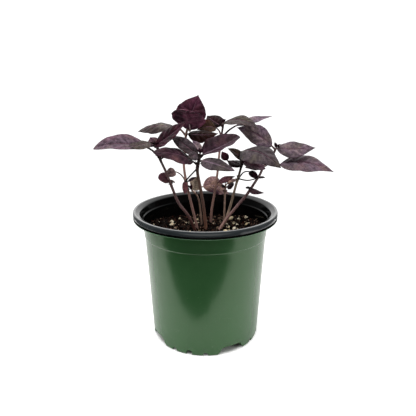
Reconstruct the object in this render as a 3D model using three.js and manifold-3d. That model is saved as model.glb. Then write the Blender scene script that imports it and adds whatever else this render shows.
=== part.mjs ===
// Potted purple basil: a thin nursery pot, a fill of potting mix and eight young basil plants.
// Millimetres, +Z up. All is drawn round the pot's axis, and then moved by MIDDLE, so that the
// origin is on the surface that the pot stands on, under the middle of the foliage's spread.
// The front, where the plant is usually looked at, faces -Y.
import * as THREE from "three";
import { mergeVertices } from "three/addons/utils/BufferGeometryUtils.js";
import Module from "manifold-3d";

const wasm = await Module();
wasm.setup();

// Pot: driving sizes
const RIM_RADIUS = 57; // widest circle of the rolled lip
const RIM_HEIGHT = 105.5; // height of that circle above the surface
const LEDGE_HEIGHT = 86; // stacking ledge round the outside
const BODY_TOP_RADIUS = 48.4; // outside, just under the ledge
const COLLAR_RADIUS = 48.9; // outside, just over the ledge
const BASE_RADIUS = 43.7; // outside, at the foot
const WALL = 1;
const FLOOR_HEIGHT = 6.8; // underside of the floor
const FLOOR_TOP = 8;
const HEEL = 2.6; // how far the wall turns in where it meets the floor
const HEEL_HEIGHT = 11; // where it begins to do so, inside
const POT_SEGMENTS = 44;
const MIDDLE = 8; // how far the middle of the foliage's spread lies to the pot's right

// Foot: four wide notches, with small drain arches and a round hole in each lobe between them
const NOTCH_COUNT = 4;
const NOTCH_WIDTH = 19;
const NOTCH_RISE = 6.2;
const NOTCH_SPLAY = 2; // how much each side leans outwards
const NOTCH_BEARING = -62; // degrees from +X, of the first notch
const ARCH_STEP = 17; // degrees between the openings of a lobe
const MIDDLE_ARCH = [4.4, 3.6]; // width and rise
const SIDE_ARCH = [3.6, 2.2];
const DRAIN_RADIUS = 3.4;
const DRAIN_CIRCLE = 32;

// Potting mix
const SOIL_LEVEL = 84.6; // at the wall, front and back
const SOIL_MOUND = 4.6; // how much higher it is round the stems
const MOUND_CENTRE = [5, 4];
const MOUND_SPREAD = 17;
const SOIL_HEAP = 6; // and against the wall, left and right
const SOIL_ROUGHNESS = 1.1;
const SOIL_RINGS = 7;
const SOIL_SEGMENTS = 28;
const CLEARANCE = 0.35; // between pieces that touch
const CRUMB_COUNT = 14;
const CRUMB_RADII = [1.4, 2.8];
const PERLITE_COUNT = 10;
const PERLITE_RADII = [0.9, 1.7];
const GRAIN_REACH = 44; // from the axis
const STEM_ROOM = 3.2; // between a grain and the middle of a stem
const SEED = 20;

// Plants
const BLADE = 0.75; // thickness of a leaf blade
const STEM_SIDES = 5;
const PETIOLE_SIDES = 4;
const TOOTH = 0.03; // depth of a leaf's teeth, as a share of its half width
const WAVE = 0.05; // height of the wave along its edge, likewise
const NARROWEST = 0.06; // share of its width that a blade keeps at its two ends
const LARGE_LEAF = 20; // a longer leaf gets a finer blade
const TAPER = 0.25; // how far a leaf's tip is drawn out; below zero it is rounded

// Each plant: the stem's route from its foot in the mix to its growing tip, the radius at the
// foot and at the tip, and its leaves. A leaf's stalk leaves the stem at the height from, the
// blade runs from base to tip, and is wide at its broadest. bow is how far the blade arches
// over, as a share of its length; roll turns it round its own line, in degrees; fold lifts
// its two halves, in degrees, and a minus sign lets them hang. sway curves a blade sideways,
// and taper, where it is given, stands in for TAPER.
const PLANTS = {
  plant_left: {
    stem: [[-5.5, -4.5, 72], [-7.5, -4, 86], [-13, -4, 100], [-20.8, -6, 112], [-25.5, -8, 125],
      [-29.6, -9, 137], [-34, -10, 148], [-35.5, -10, 157]],
    radii: [1.25, 0.8],
    leaves: [
      { from: 148, base: [-43.5, -12, 156.5], tip: [-82, -14, 155.5], wide: 16, bow: 0.24,
        roll: -33, fold: 13, sway: -0.14, taper: -0.15 },
      { from: 147, base: [-30, -7, 149], tip: [-19, 3, 148], wide: 11, bow: 0.12, roll: 0, fold: 4 },
      { from: 154, base: [-40.5, -12, 160], tip: [-56.5, -27, 158], wide: 13.5, bow: 0.03,
        roll: -17, fold: -3, sway: -0.04 },
      { from: 156, base: [-37.5, -10.5, 157], tip: [-13, -14, 176], wide: 16, bow: 0.04, roll: 34,
        fold: 7, sway: 0.1 },
      { from: 156, base: [-37, -9, 157], tip: [-41, -6, 163], wide: 9, bow: 0.1, roll: -60,
        fold: 10 },
    ],
    seedLeaves: [
      { from: 127, base: [-27, -8, 131], tip: [-35.5, -12, 133.5], wide: 10, bow: 0.03, roll: -42,
        fold: 3, sway: 0.07 },
      { from: 127, base: [-27, -5, 129.5], tip: [-23.5, -3, 128], wide: 4.5, bow: 0.06, roll: 18,
        fold: 1 },
    ],
  },
  plant_tall: {
    stem: [[-4, 0, 72], [-6, 1, 86], [-9.5, 3, 101], [-14.8, 6, 124], [-17, 8, 139],
      [-16, 9, 151], [-15, 9.5, 163], [-13.5, 10, 169]],
    radii: [1.1, 0.8],
    leaves: [
      { from: 162, base: [-25, 12, 169], tip: [-54, 20, 164], wide: 16, bow: 0.15, roll: -25,
        fold: -15, sway: -0.1 },
      { from: 162, base: [-13.5, 11, 163.5], tip: [10, 8, 164], wide: 13.5, bow: 0.03, roll: 39,
        fold: -18, sway: 0.07 },
      { from: 168, base: [-16, 14, 170], tip: [-5.5, 21, 192.5], wide: 24.5, bow: 0.04, roll: 40,
        fold: 5, sway: 0.05 },
      { from: 168, base: [-11.5, 6, 167], tip: [-15.5, -6, 183], wide: 28.5, bow: 0.26, roll: -7,
        fold: -2, sway: 0.09, taper: 0 },
    ],
    seedLeaves: [
      { from: 126, base: [-23.5, 3, 135], tip: [-30, 0, 133], wide: 7.5, bow: 0.19, roll: -65,
        fold: 11, sway: 0.06 },
      { from: 127, base: [-16.5, 3, 127], tip: [-16, 0, 118], wide: 4.5, bow: 0.03, roll: -10,
        fold: 12 },
    ],
  },
  plant_sprout: {
    stem: [[-3, 7, 74], [-3, 8, 87], [-4, 8, 101], [-6.3, 6, 114], [-11, 4, 120]],
    radii: [0.8, 0.55],
    leaves: [
      { from: 119, base: [-10, 3, 120.5], tip: [-7, -1, 131.5], wide: 12.5, bow: 0.08, roll: -83,
        fold: 5, sway: 0.04 },
      { from: 116, base: [-2, 30, 116.5], tip: [21, 44, 105.5], wide: 19.5, bow: 0.12, roll: 43,
        fold: 2, sway: -0.1 },
    ],
  },
  plant_front: {
    stem: [[0, -2, 72], [0.5, -2, 86], [-1, -5, 105], [-3.5, -9, 123], [-6, -13, 140],
      [-5, -14, 146], [-4, -15, 152]],
    radii: [1.3, 0.95],
    leaves: [
      { from: 143, base: [-9, -16, 146.5], tip: [-37, -26, 155], wide: 17.5, bow: 0.12, roll: -28,
        fold: -6, sway: -0.03, taper: -0.25 },
      { from: 143, base: [-3, -18, 147.5], tip: [20.5, -33, 143], wide: 12.5, bow: 0.12, roll: 30,
        fold: -7, sway: 0.07, taper: 0 },
      { from: 150, base: [-5.5, -14, 150.5], tip: [-26, -6, 164], wide: 10.5, bow: 0.2, roll: -42,
        fold: 6, sway: -0.07 },
      { from: 150, base: [-1.5, -15, 151.5], tip: [25.5, -4, 163.5], wide: 22.5, bow: 0, roll: 14,
        fold: 20, sway: 0.03, taper: -0.35 },
      { from: 151, base: [-5.5, -16.5, 152], tip: [-13, -20, 149.5], wide: 9, bow: 0.14, roll: -44,
        fold: -4, sway: -0.03 },
      { from: 148, base: [-2, -9, 152.5], tip: [-10, 3, 159.5], wide: 6, bow: 0, roll: -65, fold: 8 },
      { from: 141, base: [-13.5, -3, 128.5], tip: [-7, -2, 132], wide: 4, bow: 0.03, roll: 20,
        fold: 4 },
    ],
  },
  plant_centre: {
    stem: [[4, 14, 72], [4.5, 14, 87], [5.3, 15, 100], [8, 17, 116], [10, 19, 131],
      [11.5, 20, 147], [13, 21, 160], [14.5, 22, 170]],
    radii: [1.15, 0.8],
    leaves: [
      { from: 158, base: [25.5, 25, 168.5], tip: [54.5, 30, 175.5], wide: 14, bow: 0.01, roll: 14,
        fold: 2, sway: -0.06 },
      { from: 158, base: [8.5, 23, 167], tip: [-6.5, 17, 166], wide: 12, bow: 0.11, roll: -49,
        fold: 11, sway: 0.05 },
      { from: 168, base: [14, 20, 170.5], tip: [41, 6, 167.5], wide: 17.5, bow: 0.15, roll: 18,
        fold: -1, sway: -0.07 },
      { from: 168, base: [13, 26, 168], tip: [1.5, 34, 175.5], wide: 17, bow: 0.07, roll: -27,
        fold: -2, sway: -0.07 },
      { from: 118, base: [11, 20.5, 122.5], tip: [24.5, 20, 127.5], wide: 6.5, bow: 0.16, roll: 39,
        fold: -6, sway: 0.09 },
    ],
  },
  plant_back: {
    stem: [[15, 15, 74], [15.5, 16, 88], [16, 17, 101], [16.5, 20, 115], [17, 22, 121]],
    radii: [0.95, 0.65],
    leaves: [
      { from: 119, base: [18, 22, 120.5], tip: [28, 24, 123.5], wide: 6, bow: 0.14, roll: 19,
        fold: 2 },
      { from: 117, base: [16.3, 21, 118.5], tip: [13, 20, 120], wide: 3, bow: 0.06, roll: -44,
        fold: -8 },
    ],
    seedLeaves: [
      { from: 113, base: [18, 18, 119], tip: [23.5, 15, 122], wide: 7.5, bow: 0.05, roll: 38,
        fold: -12 },
    ],
  },
  plant_right_inner: {
    stem: [[13.5, 8, 73], [15, 9, 87], [20.5, 10, 105], [24.5, 9, 122], [27, 8, 132],
      [29, 6, 141], [30, 5, 145]],
    radii: [1.05, 0.8],
    leaves: [
      { from: 140, base: [28, 1, 151], tip: [55, -20, 142.5], wide: 26, bow: 0.22, roll: 20,
        fold: -12, sway: 0.06, taper: 0.05 },
      { from: 140, base: [28.5, 8, 138], tip: [17.5, 14, 141.5], wide: 14, bow: 0.1, roll: -10,
        fold: -8 },
      { from: 143, base: [29, 6.5, 143.5], tip: [17.5, 8, 152.5], wide: 10.5, bow: 0.15, roll: -25,
        fold: 8, sway: -0.07 },
      { from: 144, base: [30, 8, 141.5], tip: [47.5, 6, 136.5], wide: 14, bow: 0.1, roll: 31,
        fold: 17, sway: 0.12, taper: 0 },
      { from: 139, base: [17.5, 6, 143.5], tip: [13, 9, 150], wide: 6.5, bow: 0.08, roll: -43,
        fold: -2, sway: -0.04 },
      { from: 128, base: [41.5, -2, 131], tip: [46.5, -3, 131.5], wide: 3.5, bow: 0.1, roll: 18,
        fold: 2 },
    ],
    seedLeaves: [
      { from: 126, base: [34.5, 3, 135], tip: [40.5, -2, 131], wide: 5.5, bow: 0.1, roll: 46,
        fold: 1 },
    ],
  },
  plant_right: {
    stem: [[10, -6, 72], [10.3, -4, 86], [16, -1, 96], [26, 2, 108], [34, 5, 117], [38.8, 7, 124],
      [43.5, 9, 131], [47, 11, 138], [54, 12, 147], [56, 12, 152]],
    radii: [1.25, 0.8],
    leaves: [
      { from: 145, base: [58.5, 4, 140.5], tip: [98, -6, 136.5], wide: 24, bow: 0.09, roll: 22,
        fold: -4, sway: -0.06 },
      { from: 143, base: [46, 14, 136.5], tip: [32, 13, 136], wide: 11, bow: 0.06, roll: -24,
        fold: 4 },
      { from: 151, base: [56.5, 10, 152], tip: [85.5, 4, 153.5], wide: 17.5, bow: 0.05, roll: 36,
        fold: -6, sway: 0.07 },
      { from: 151, base: [53, 13.5, 153.5], tip: [25, 14, 168], wide: 16, bow: -0.05, roll: -70,
        fold: 0, sway: 0.1 },
      { from: 119, base: [35, 3, 121.7], tip: [46, -4, 119.5], wide: 7, bow: 0.01, roll: 18,
        fold: -15, sway: 0.13 },
    ],
    seedLeaves: [
      { from: 119, base: [36, 1, 122.5], tip: [31.5, -1, 122.7], wide: 3, bow: 0.09, roll: -27,
        fold: -8 },
    ],
  },
};

// A small seeded generator, so that every run draws the same numbers.
function randomSource(seed) {
  let state = seed >>> 0;
  return () => {
    state = (state + 0x6d2b79f5) >>> 0;
    let t = state;
    t = Math.imul(t ^ (t >>> 15), t | 1);
    t ^= t + Math.imul(t ^ (t >>> 7), t | 61);
    return ((t ^ (t >>> 14)) >>> 0) / 4294967296;
  };
}

// Solids to and from three.js geometry
function toSolid(geometry) {
  const bare = geometry.clone();
  bare.deleteAttribute("normal");
  bare.deleteAttribute("uv");
  const merged = mergeVertices(bare, 1e-4);
  const mesh = new wasm.Mesh({
    numProp: 3,
    vertProperties: new Float32Array(merged.attributes.position.array),
    triVerts: new Uint32Array(merged.index.array),
  });
  return new wasm.Manifold(mesh);
}

function toGeometry(solid) {
  const mesh = solid.getMesh();
  const geometry = new THREE.BufferGeometry();
  geometry.setAttribute("position", new THREE.BufferAttribute(mesh.vertProperties, 3));
  geometry.setIndex(new THREE.BufferAttribute(mesh.triVerts, 1));
  const flat = geometry.toNonIndexed();
  flat.computeVertexNormals();
  return flat;
}

// A closed geometry from rows of points and triangles that index them.
function closedGeometry(points, triangles) {
  const geometry = new THREE.BufferGeometry();
  geometry.setAttribute("position", new THREE.Float32BufferAttribute(points.flat(), 3));
  geometry.setIndex(triangles);
  return geometry;
}

// A tube along a curve, whose radius is a function of the share of the way along it.
function taperedTube(curve, radiusAt, segments, sides) {
  const frames = curve.computeFrenetFrames(segments, false);
  const points = [];
  for (let i = 0; i <= segments; i++) {
    const centre = curve.getPointAt(i / segments);
    const radius = radiusAt(i / segments);
    for (let j = 0; j < sides; j++) {
      const angle = (2 * Math.PI * j) / sides;
      const point = centre
        .clone()
        .addScaledVector(frames.normals[i], radius * Math.cos(angle))
        .addScaledVector(frames.binormals[i], radius * Math.sin(angle));
      points.push(point.toArray());
    }
  }
  const triangles = [];
  for (let i = 0; i < segments; i++)
    for (let j = 0; j < sides; j++) {
      const a = i * sides + j;
      const b = i * sides + ((j + 1) % sides);
      triangles.push(a, b, a + sides, b, b + sides, a + sides);
    }
  for (let j = 1; j < sides - 1; j++) {
    const last = segments * sides;
    triangles.push(0, j + 1, j, last, last + j, last + j + 1);
  }
  return closedGeometry(points, triangles);
}

const vector = (point) => new THREE.Vector3(...point);

// Half width of a leaf at the share t of its length: round near the stalk, broadest at two
// fifths, and drawn out to a point. A seed leaf is blunt, and broadest in the middle.
function leafOutline(t, leaf) {
  if (leaf.blunt) return Math.sin(Math.PI * t ** 0.9) ** 0.5;
  return Math.sin(Math.PI * t ** 0.76) ** (0.8 + (leaf.taper ?? TAPER) * t);
}

// The line that a blade's midrib follows, and the directions across it and out of its face.
function bladeFrame(leaf) {
  const base = vector(leaf.base);
  const tip = vector(leaf.tip);
  const chord = tip.clone().sub(base);
  const length = chord.length();
  const along = chord.clone().normalize();
  const level = along.clone().cross(new THREE.Vector3(0, 0, 1)).normalize();
  const across = level.clone().applyAxisAngle(along, THREE.MathUtils.degToRad(leaf.roll));
  const out = across.clone().cross(along);
  const sway = leaf.sway ?? 0;
  const midrib = (t) =>
    base
      .clone()
      .addScaledVector(along, length * t)
      .addScaledVector(out, 4 * leaf.bow * length * t * (1 - t))
      .addScaledVector(across, 4 * sway * length * t * (1 - t));
  const slope = (t) =>
    along
      .clone()
      .addScaledVector(out, 4 * leaf.bow * (1 - 2 * t))
      .addScaledVector(across, 4 * sway * (1 - 2 * t))
      .normalize();
  return { length, along, across, out, midrib, slope };
}

// A blade as one thin closed sheet. Both faces are cut into triangles alike.
function leafBlade(leaf, index) {
  const { length, across, midrib, slope } = bladeFrame(leaf);
  const large = length > LARGE_LEAF;
  const rows = large ? 10 : 6;
  const shares = large ? [-1, -0.5, 0, 0.5, 1] : [-1, 0, 1];
  const fold = Math.tan(THREE.MathUtils.degToRad(leaf.fold));
  const upper = [];
  const lower = [];
  for (let i = 0; i <= rows; i++) {
    const t = i / rows;
    const outline = Math.max(leafOutline(Math.min(t, 0.995), leaf), NARROWEST);
    const tooth = i % 2 ? 1 + TOOTH : 1 - TOOTH;
    const half = (leaf.wide / 2) * outline;
    const tangent = slope(t);
    const face = across.clone().cross(tangent).normalize();
    for (const share of shares) {
      const side = share * half * (Math.abs(share) === 1 ? tooth : 1);
      const wave = WAVE * half * share * share * Math.sin(2.4 * i + 1.7 * index + 2 * share);
      const point = midrib(t)
        .addScaledVector(across, side)
        .addScaledVector(face, Math.abs(side) * fold + wave);
      upper.push(point.clone().addScaledVector(face, BLADE / 2).toArray());
      lower.push(point.clone().addScaledVector(face, -BLADE / 2).toArray());
    }
  }
  const columns = shares.length;
  const under = upper.length;
  const triangles = [];
  const wallBetween = (a, b) => triangles.push(a, b, b + under, a, b + under, a + under);
  for (let i = 0; i < rows; i++)
    for (let j = 0; j < columns - 1; j++) {
      const a = i * columns + j;
      const b = a + 1;
      const c = a + columns;
      const d = c + 1;
      const faces = j < columns / 2 - 1 ? [[a, b, d], [a, d, c]] : [[a, b, c], [b, d, c]];
      for (const [p, q, r] of faces) {
        triangles.push(p, q, r);
        triangles.push(p + under, r + under, q + under);
      }
    }
  for (let j = 0; j < columns - 1; j++) {
    wallBetween(j + 1, j);
    wallBetween(rows * columns + j, rows * columns + j + 1);
  }
  for (let i = 0; i < rows; i++) {
    wallBetween(i * columns, (i + 1) * columns);
    wallBetween((i + 2) * columns - 1, (i + 1) * columns - 1);
  }
  return closedGeometry([...upper, ...lower], triangles);
}

// A leaf stalk: it leaves the stem at an angle, runs into the blade and fades into its midrib.
function leafStalk(leaf, stemCurve) {
  const { length, midrib, slope } = bladeFrame(leaf);
  const root = pointAtHeight(stemCurve, leaf.from);
  const base = vector(leaf.base);
  const reach = base.distanceTo(root);
  const bend = base.clone().addScaledVector(slope(0), -0.5 * reach);
  const path = new THREE.CatmullRomCurve3([
    root,
    new THREE.QuadraticBezierCurve3(root, bend, base).getPoint(0.5),
    base,
    midrib(0.03),
  ]);
  const thick = Math.min(0.9, 0.5 + length / 80);
  return taperedTube(path, (t) => thick * (1 - 0.3 * t), 5, PETIOLE_SIDES);
}

function pointAtHeight(curve, height) {
  const steps = 200;
  for (let i = 0; i <= steps; i++) {
    const point = curve.getPoint(i / steps);
    if (point.z >= height) return point;
  }
  return curve.getPoint(1);
}

// The line of a plant's stem. Its foot can be set a little deeper.
function stemCurveOf(plant, deeper = 0) {
  const points = plant.stem.map(vector);
  points[0].z -= deeper;
  return new THREE.CatmullRomCurve3(points);
}

function basilPlant(plant) {
  const curve = stemCurveOf(plant);
  const [foot, top] = plant.radii;
  const segments = 2 * plant.stem.length - 2;
  const parts = [toSolid(taperedTube(curve, (t) => foot + (top - foot) * t, segments, STEM_SIDES))];
  const seedLeaves = (plant.seedLeaves ?? []).map((leaf) => ({ ...leaf, blunt: true }));
  [...plant.leaves, ...seedLeaves].forEach((leaf, index) => {
    parts.push(toSolid(leafStalk(leaf, curve)));
    parts.push(toSolid(leafBlade(leaf, index)));
  });
  return wasm.Manifold.union(parts).simplify(0.1);
}

// A plain hole in the mix for each stem, a little wider than the stem, and closed below.
function stemHole(plant) {
  const curve = stemCurveOf(plant, CLEARANCE);
  const segments = 2 * plant.stem.length - 2;
  const [foot, top] = plant.radii;
  const radiusAt = (t) => foot + (top - foot) * t + CLEARANCE;
  return toSolid(taperedTube(curve, radiusAt, segments, STEM_SIDES));
}

// Pot
function bodyRadius(height) {
  const share = height / LEDGE_HEIGHT;
  return BASE_RADIUS + (BODY_TOP_RADIUS - BASE_RADIUS) * share;
}

function potProfile() {
  const z = RIM_HEIGHT;
  const outside = [
    [0, FLOOR_HEIGHT],
    [bodyRadius(FLOOR_HEIGHT) - HEEL, FLOOR_HEIGHT],
    [BASE_RADIUS - 2.1, 0],
    [BASE_RADIUS - 0.7, 0],
    [BASE_RADIUS, 1.3],
    [BODY_TOP_RADIUS, LEDGE_HEIGHT],
    [COLLAR_RADIUS, LEDGE_HEIGHT + 0.5],
    [COLLAR_RADIUS + 0.5, z - 7.6],
    [50.8, z - 4],
    [52.6, z - 1.4],
    [54.8, z - 0.6],
    [55.9, z - 1.8],
    [55.9, z - 4.2],
  ];
  const inside = [
    [56.9, z - 4.2],
    [RIM_RADIUS, z - 0.7],
    [56.2, z + 0.3],
    [54.6, z + 0.7],
    [52.6, z + 0.3],
    [51.4, z - 0.9],
    [49.8, z - 4],
    [COLLAR_RADIUS + 0.5 - WALL, z - 7.4],
    [COLLAR_RADIUS - WALL, LEDGE_HEIGHT + 0.3],
    [BODY_TOP_RADIUS - WALL, LEDGE_HEIGHT - 0.4],
    [bodyRadius(HEEL_HEIGHT) - WALL, HEEL_HEIGHT],
    [bodyRadius(FLOOR_TOP) - HEEL, FLOOR_TOP],
    [0, FLOOR_TOP],
  ];
  return [...outside, ...inside].map(([radius, height]) => new THREE.Vector2(radius, height));
}

// An arch-topped cutter that opens the foot's wall at a bearing.
function footCutter([width, rise], bearing, splay = 0) {
  const corner = Math.min(rise, width / 2) * 0.7;
  const shape = new THREE.Shape();
  shape.moveTo(-width / 2 - splay, -1);
  shape.lineTo(-width / 2, rise - corner);
  shape.quadraticCurveTo(-width / 2, rise, -width / 2 + corner, rise);
  shape.lineTo(width / 2 - corner, rise);
  shape.quadraticCurveTo(width / 2, rise, width / 2, rise - corner);
  shape.lineTo(width / 2 + splay, -1);
  shape.closePath();
  const cutter = new THREE.ExtrudeGeometry(shape, { depth: 8, bevelEnabled: false, curveSegments: 3 });
  cutter.rotateX(Math.PI / 2);
  cutter.translate(0, BASE_RADIUS + 3, 0);
  cutter.rotateZ(THREE.MathUtils.degToRad(bearing - 90));
  return toSolid(cutter);
}

function drainCutter(circle, bearing) {
  const cutter = new THREE.CylinderGeometry(DRAIN_RADIUS, DRAIN_RADIUS, 12, 10);
  cutter.rotateX(Math.PI / 2);
  cutter.translate(circle, 0, FLOOR_HEIGHT);
  cutter.rotateZ(THREE.MathUtils.degToRad(bearing));
  return toSolid(cutter);
}

function nurseryPot() {
  const lathe = new THREE.LatheGeometry(potProfile(), POT_SEGMENTS);
  lathe.rotateX(Math.PI / 2);
  const cutters = [];
  for (let i = 0; i < NOTCH_COUNT; i++) {
    const notch = NOTCH_BEARING + (i * 360) / NOTCH_COUNT;
    const lobe = notch + 180 / NOTCH_COUNT;
    cutters.push(footCutter([NOTCH_WIDTH, NOTCH_RISE], notch, NOTCH_SPLAY));
    cutters.push(footCutter(SIDE_ARCH, lobe - ARCH_STEP));
    cutters.push(footCutter(MIDDLE_ARCH, lobe));
    cutters.push(footCutter(SIDE_ARCH, lobe + ARCH_STEP));
    cutters.push(drainCutter(DRAIN_CIRCLE, lobe));
  }
  cutters.push(drainCutter(0, 0));
  return toSolid(lathe).subtract(wasm.Manifold.union(cutters)).simplify(0.02);
}

// Potting mix
function soilSurface(x, y) {
  const offCentre = Math.hypot(x - MOUND_CENTRE[0], y - MOUND_CENTRE[1]);
  const mound = SOIL_MOUND * Math.exp(-((offCentre / MOUND_SPREAD) ** 2) / 2);
  const ripple = Math.sin(0.43 * x + 1.3) * Math.cos(0.37 * y + 0.4) + Math.sin(0.81 * y - 0.52 * x);
  const heap = SOIL_HEAP * (x / BODY_TOP_RADIUS) ** 2;
  return SOIL_LEVEL + mound + heap + 0.5 * SOIL_ROUGHNESS * ripple;
}

function soilBody() {
  const low = FLOOR_TOP + CLEARANCE;
  const shoulder = SOIL_LEVEL - 4.6;
  const profile = [
    [0, low],
    [bodyRadius(low) - HEEL - CLEARANCE, low],
    [bodyRadius(HEEL_HEIGHT) - WALL - CLEARANCE, HEEL_HEIGHT + CLEARANCE],
    [bodyRadius(shoulder) - WALL - CLEARANCE, shoulder],
  ];
  for (let i = SOIL_RINGS; i >= 0; i--)
    profile.push([((bodyRadius(SOIL_LEVEL) - WALL - CLEARANCE) * i) / SOIL_RINGS, SOIL_LEVEL]);
  const lathe = new THREE.LatheGeometry(
    profile.map(([radius, height]) => new THREE.Vector2(radius, height)),
    SOIL_SEGMENTS,
  );
  lathe.rotateX(Math.PI / 2);
  const position = lathe.attributes.position;
  for (let i = 0; i < position.count; i++)
    if (position.getZ(i) > shoulder + 1)
      position.setZ(i, soilSurface(position.getX(i), position.getY(i)));
  return toSolid(lathe);
}

// Crumbs of bark and grains of perlite, sunk into the surface between the stems.
function surfaceGrains() {
  const random = randomSource(SEED);
  const feet = Object.values(PLANTS).map((plant) => plant.stem[1]);
  const grains = [];
  while (grains.length < CRUMB_COUNT + PERLITE_COUNT) {
    const [least, most] = grains.length < CRUMB_COUNT ? CRUMB_RADII : PERLITE_RADII;
    const radius = least + (most - least) * random();
    const distance = GRAIN_REACH * Math.sqrt(random());
    const bearing = 2 * Math.PI * random();
    const x = distance * Math.cos(bearing);
    const y = distance * Math.sin(bearing);
    const turn = new THREE.Euler(3 * random(), 3 * random(), 3 * random());
    if (feet.some(([fx, fy]) => Math.hypot(fx - x, fy - y) < radius + STEM_ROOM)) continue;
    const grain = new THREE.IcosahedronGeometry(radius, 0);
    grain.scale(1, 0.8, 0.7);
    grain.applyMatrix4(new THREE.Matrix4().makeRotationFromEuler(turn));
    grain.translate(x, y, soilSurface(x, y));
    grains.push(toSolid(grain));
  }
  return grains;
}

function pottingMix() {
  const holes = wasm.Manifold.union(Object.values(PLANTS).map(stemHole));
  return wasm.Manifold.union([soilBody(), ...surfaceGrains()]).subtract(holes).simplify(0.05);
}

// Assembly
const potGreen = new THREE.MeshStandardMaterial({ color: 0x2f5c38, roughness: 0.35, metalness: 0 });
const soilBrown = new THREE.MeshStandardMaterial({ color: 0x2e1c13, roughness: 0.95, metalness: 0 });
const leafPurple = new THREE.MeshStandardMaterial({ color: 0x4a2c40, roughness: 0.5, metalness: 0 });

const group = new THREE.Group();
group.position.x = -MIDDLE;

function addPiece(name, solid, material) {
  const mesh = new THREE.Mesh(toGeometry(solid), material);
  mesh.name = name;
  group.add(mesh);
}

addPiece("nursery_pot", nurseryPot(), potGreen);
addPiece("potting_mix", pottingMix(), soilBrown);
for (const [name, plant] of Object.entries(PLANTS)) addPiece(name, basilPlant(plant), leafPurple);

export default group;
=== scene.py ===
# %% [markdown]
# # A pot of young purple basil
# The object is a thin nursery pot, filled with potting mix, in which eight basil seedlings stand.
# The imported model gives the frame: the pot, the mix and every plant already lie in their places as
# plain faceted solids. This script dresses them: each plain solid is replaced by a finer surface of
# the same form, with veins, crumbs, a moulded lip and colours.

import math

import bmesh
import bpy
import numpy as np
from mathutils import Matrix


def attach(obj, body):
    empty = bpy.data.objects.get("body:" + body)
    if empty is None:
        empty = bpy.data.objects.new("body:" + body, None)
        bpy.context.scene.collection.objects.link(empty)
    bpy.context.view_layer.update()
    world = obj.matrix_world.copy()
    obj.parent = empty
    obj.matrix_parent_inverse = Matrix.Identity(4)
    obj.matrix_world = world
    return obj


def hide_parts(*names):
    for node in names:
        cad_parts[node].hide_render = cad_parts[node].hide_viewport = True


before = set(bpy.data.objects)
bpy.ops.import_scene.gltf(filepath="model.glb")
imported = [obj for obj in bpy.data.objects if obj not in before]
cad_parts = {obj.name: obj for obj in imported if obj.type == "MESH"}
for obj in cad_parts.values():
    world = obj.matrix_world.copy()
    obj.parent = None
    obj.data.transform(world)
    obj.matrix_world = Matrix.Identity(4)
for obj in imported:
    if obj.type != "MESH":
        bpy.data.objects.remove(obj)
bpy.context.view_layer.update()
print("nodes:", ", ".join(sorted(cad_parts)))

# %% [markdown]
# ## Working units
# A pot is drawn in millimetres, and Blender works in metres. All shapes are worked out in
# millimetres round the pot's own axis, because the pot is round about it and the plants grow from
# near it. One function moves and scales them into the frame, so that no object needs a place or a
# scale of its own.

# %% Units
MM = 0.001
POT_AXIS = np.array([-8.0, 0.0, 0.0])  # where the pot's axis stands in the frame, mm


def in_frame(points):
    """Points in millimetres about the pot's axis, as metres in the frame: the axis's place is added
    and the sum is scaled."""
    return (np.asarray(points, float) + POT_AXIS) * MM


def unit(vectors):
    """Each vector divided by its own length."""
    return vectors / np.linalg.norm(vectors, axis=-1, keepdims=True)


def placed(name, data):
    """A new object of that mesh, camera or lamp, put into the scene."""
    thing = bpy.data.objects.new(name, data)
    bpy.context.scene.collection.objects.link(thing)
    return thing


print("the pot's axis in the frame, m:", in_frame([0, 0, 0]))

# %% [markdown]
# ## From arrays to faces
# Nearly every piece here is a skin through rings of points: a stem is a row of small rings, a leaf
# blade a row of very flat ones, and the pot a row of wide ones. So one function makes the faces for
# all of them. A signed volume tells whether a skin came out inside out, and then its faces are
# turned round. Blender could recalculate the normals too, but the sum is quicker and always right.

# %% Skins through rings
def skin(rings, **values):
    """Faces between neighbouring rings, which have the shape (rings, points in a ring, 3), and at
    each end a fan to the end ring's middle. The values, one for each point, go with them."""
    count, around = rings.shape[:2]
    index = np.arange(count * around).reshape(count, around)
    this, after = index[:-1], index[1:]
    quads = np.stack([this, np.roll(this, -1, 1), np.roll(after, -1, 1), after], -1).reshape(-1, 4)
    first, last = index[0], index[-1]
    tris = np.concatenate([
        np.stack([np.full(around, count * around), np.roll(first, -1), first], -1),
        np.stack([np.full(around, count * around + 1), last, np.roll(last, -1)], -1)])
    points = np.concatenate([rings.reshape(-1, 3), [rings[0].mean(0), rings[-1].mean(0)]])
    corners = np.concatenate([quads[:, :3], quads[:, [0, 2, 3]], tris])
    a, b, c = (points[corners[:, k]] for k in range(3))
    if np.einsum("ij,ij->i", a, np.cross(b, c)).sum() < 0:
        quads, tris = quads[:, ::-1], tris[:, ::-1]
    part = dict(points=points, quads=quads, tris=tris)
    for key, value in values.items():
        value = value.reshape((count * around,) + value.shape[2:])
        part[key] = np.concatenate([value, [value[0], value[-1]]])
    return part


# %% [markdown]
# ## From faces to an object
# A leaf, its stalk and its stem are skins of their own, but they grew as one piece, so they are
# joined into one mesh. A mesh can be built face by face with bmesh, which is easy to read and slow
# for 200,000 faces. Here whole arrays are handed over with foreach_set. What varies over a piece
# (its tint, the side of a leaf, its UV map) is stored in the mesh, where its material reads it.

# %% Joining and making a piece
def joined(parts):
    """One part from several: their points follow each other, and their faces count on."""
    starts = np.cumsum([0] + [len(part["points"]) for part in parts[:-1]])
    whole = {key: np.concatenate([part[key] for part in parts])
             for key in parts[0] if key not in ("quads", "tris")}
    for key in ("quads", "tris"):
        whole[key] = np.concatenate([part[key] + start for part, start in zip(parts, starts)])
    return whole


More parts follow.
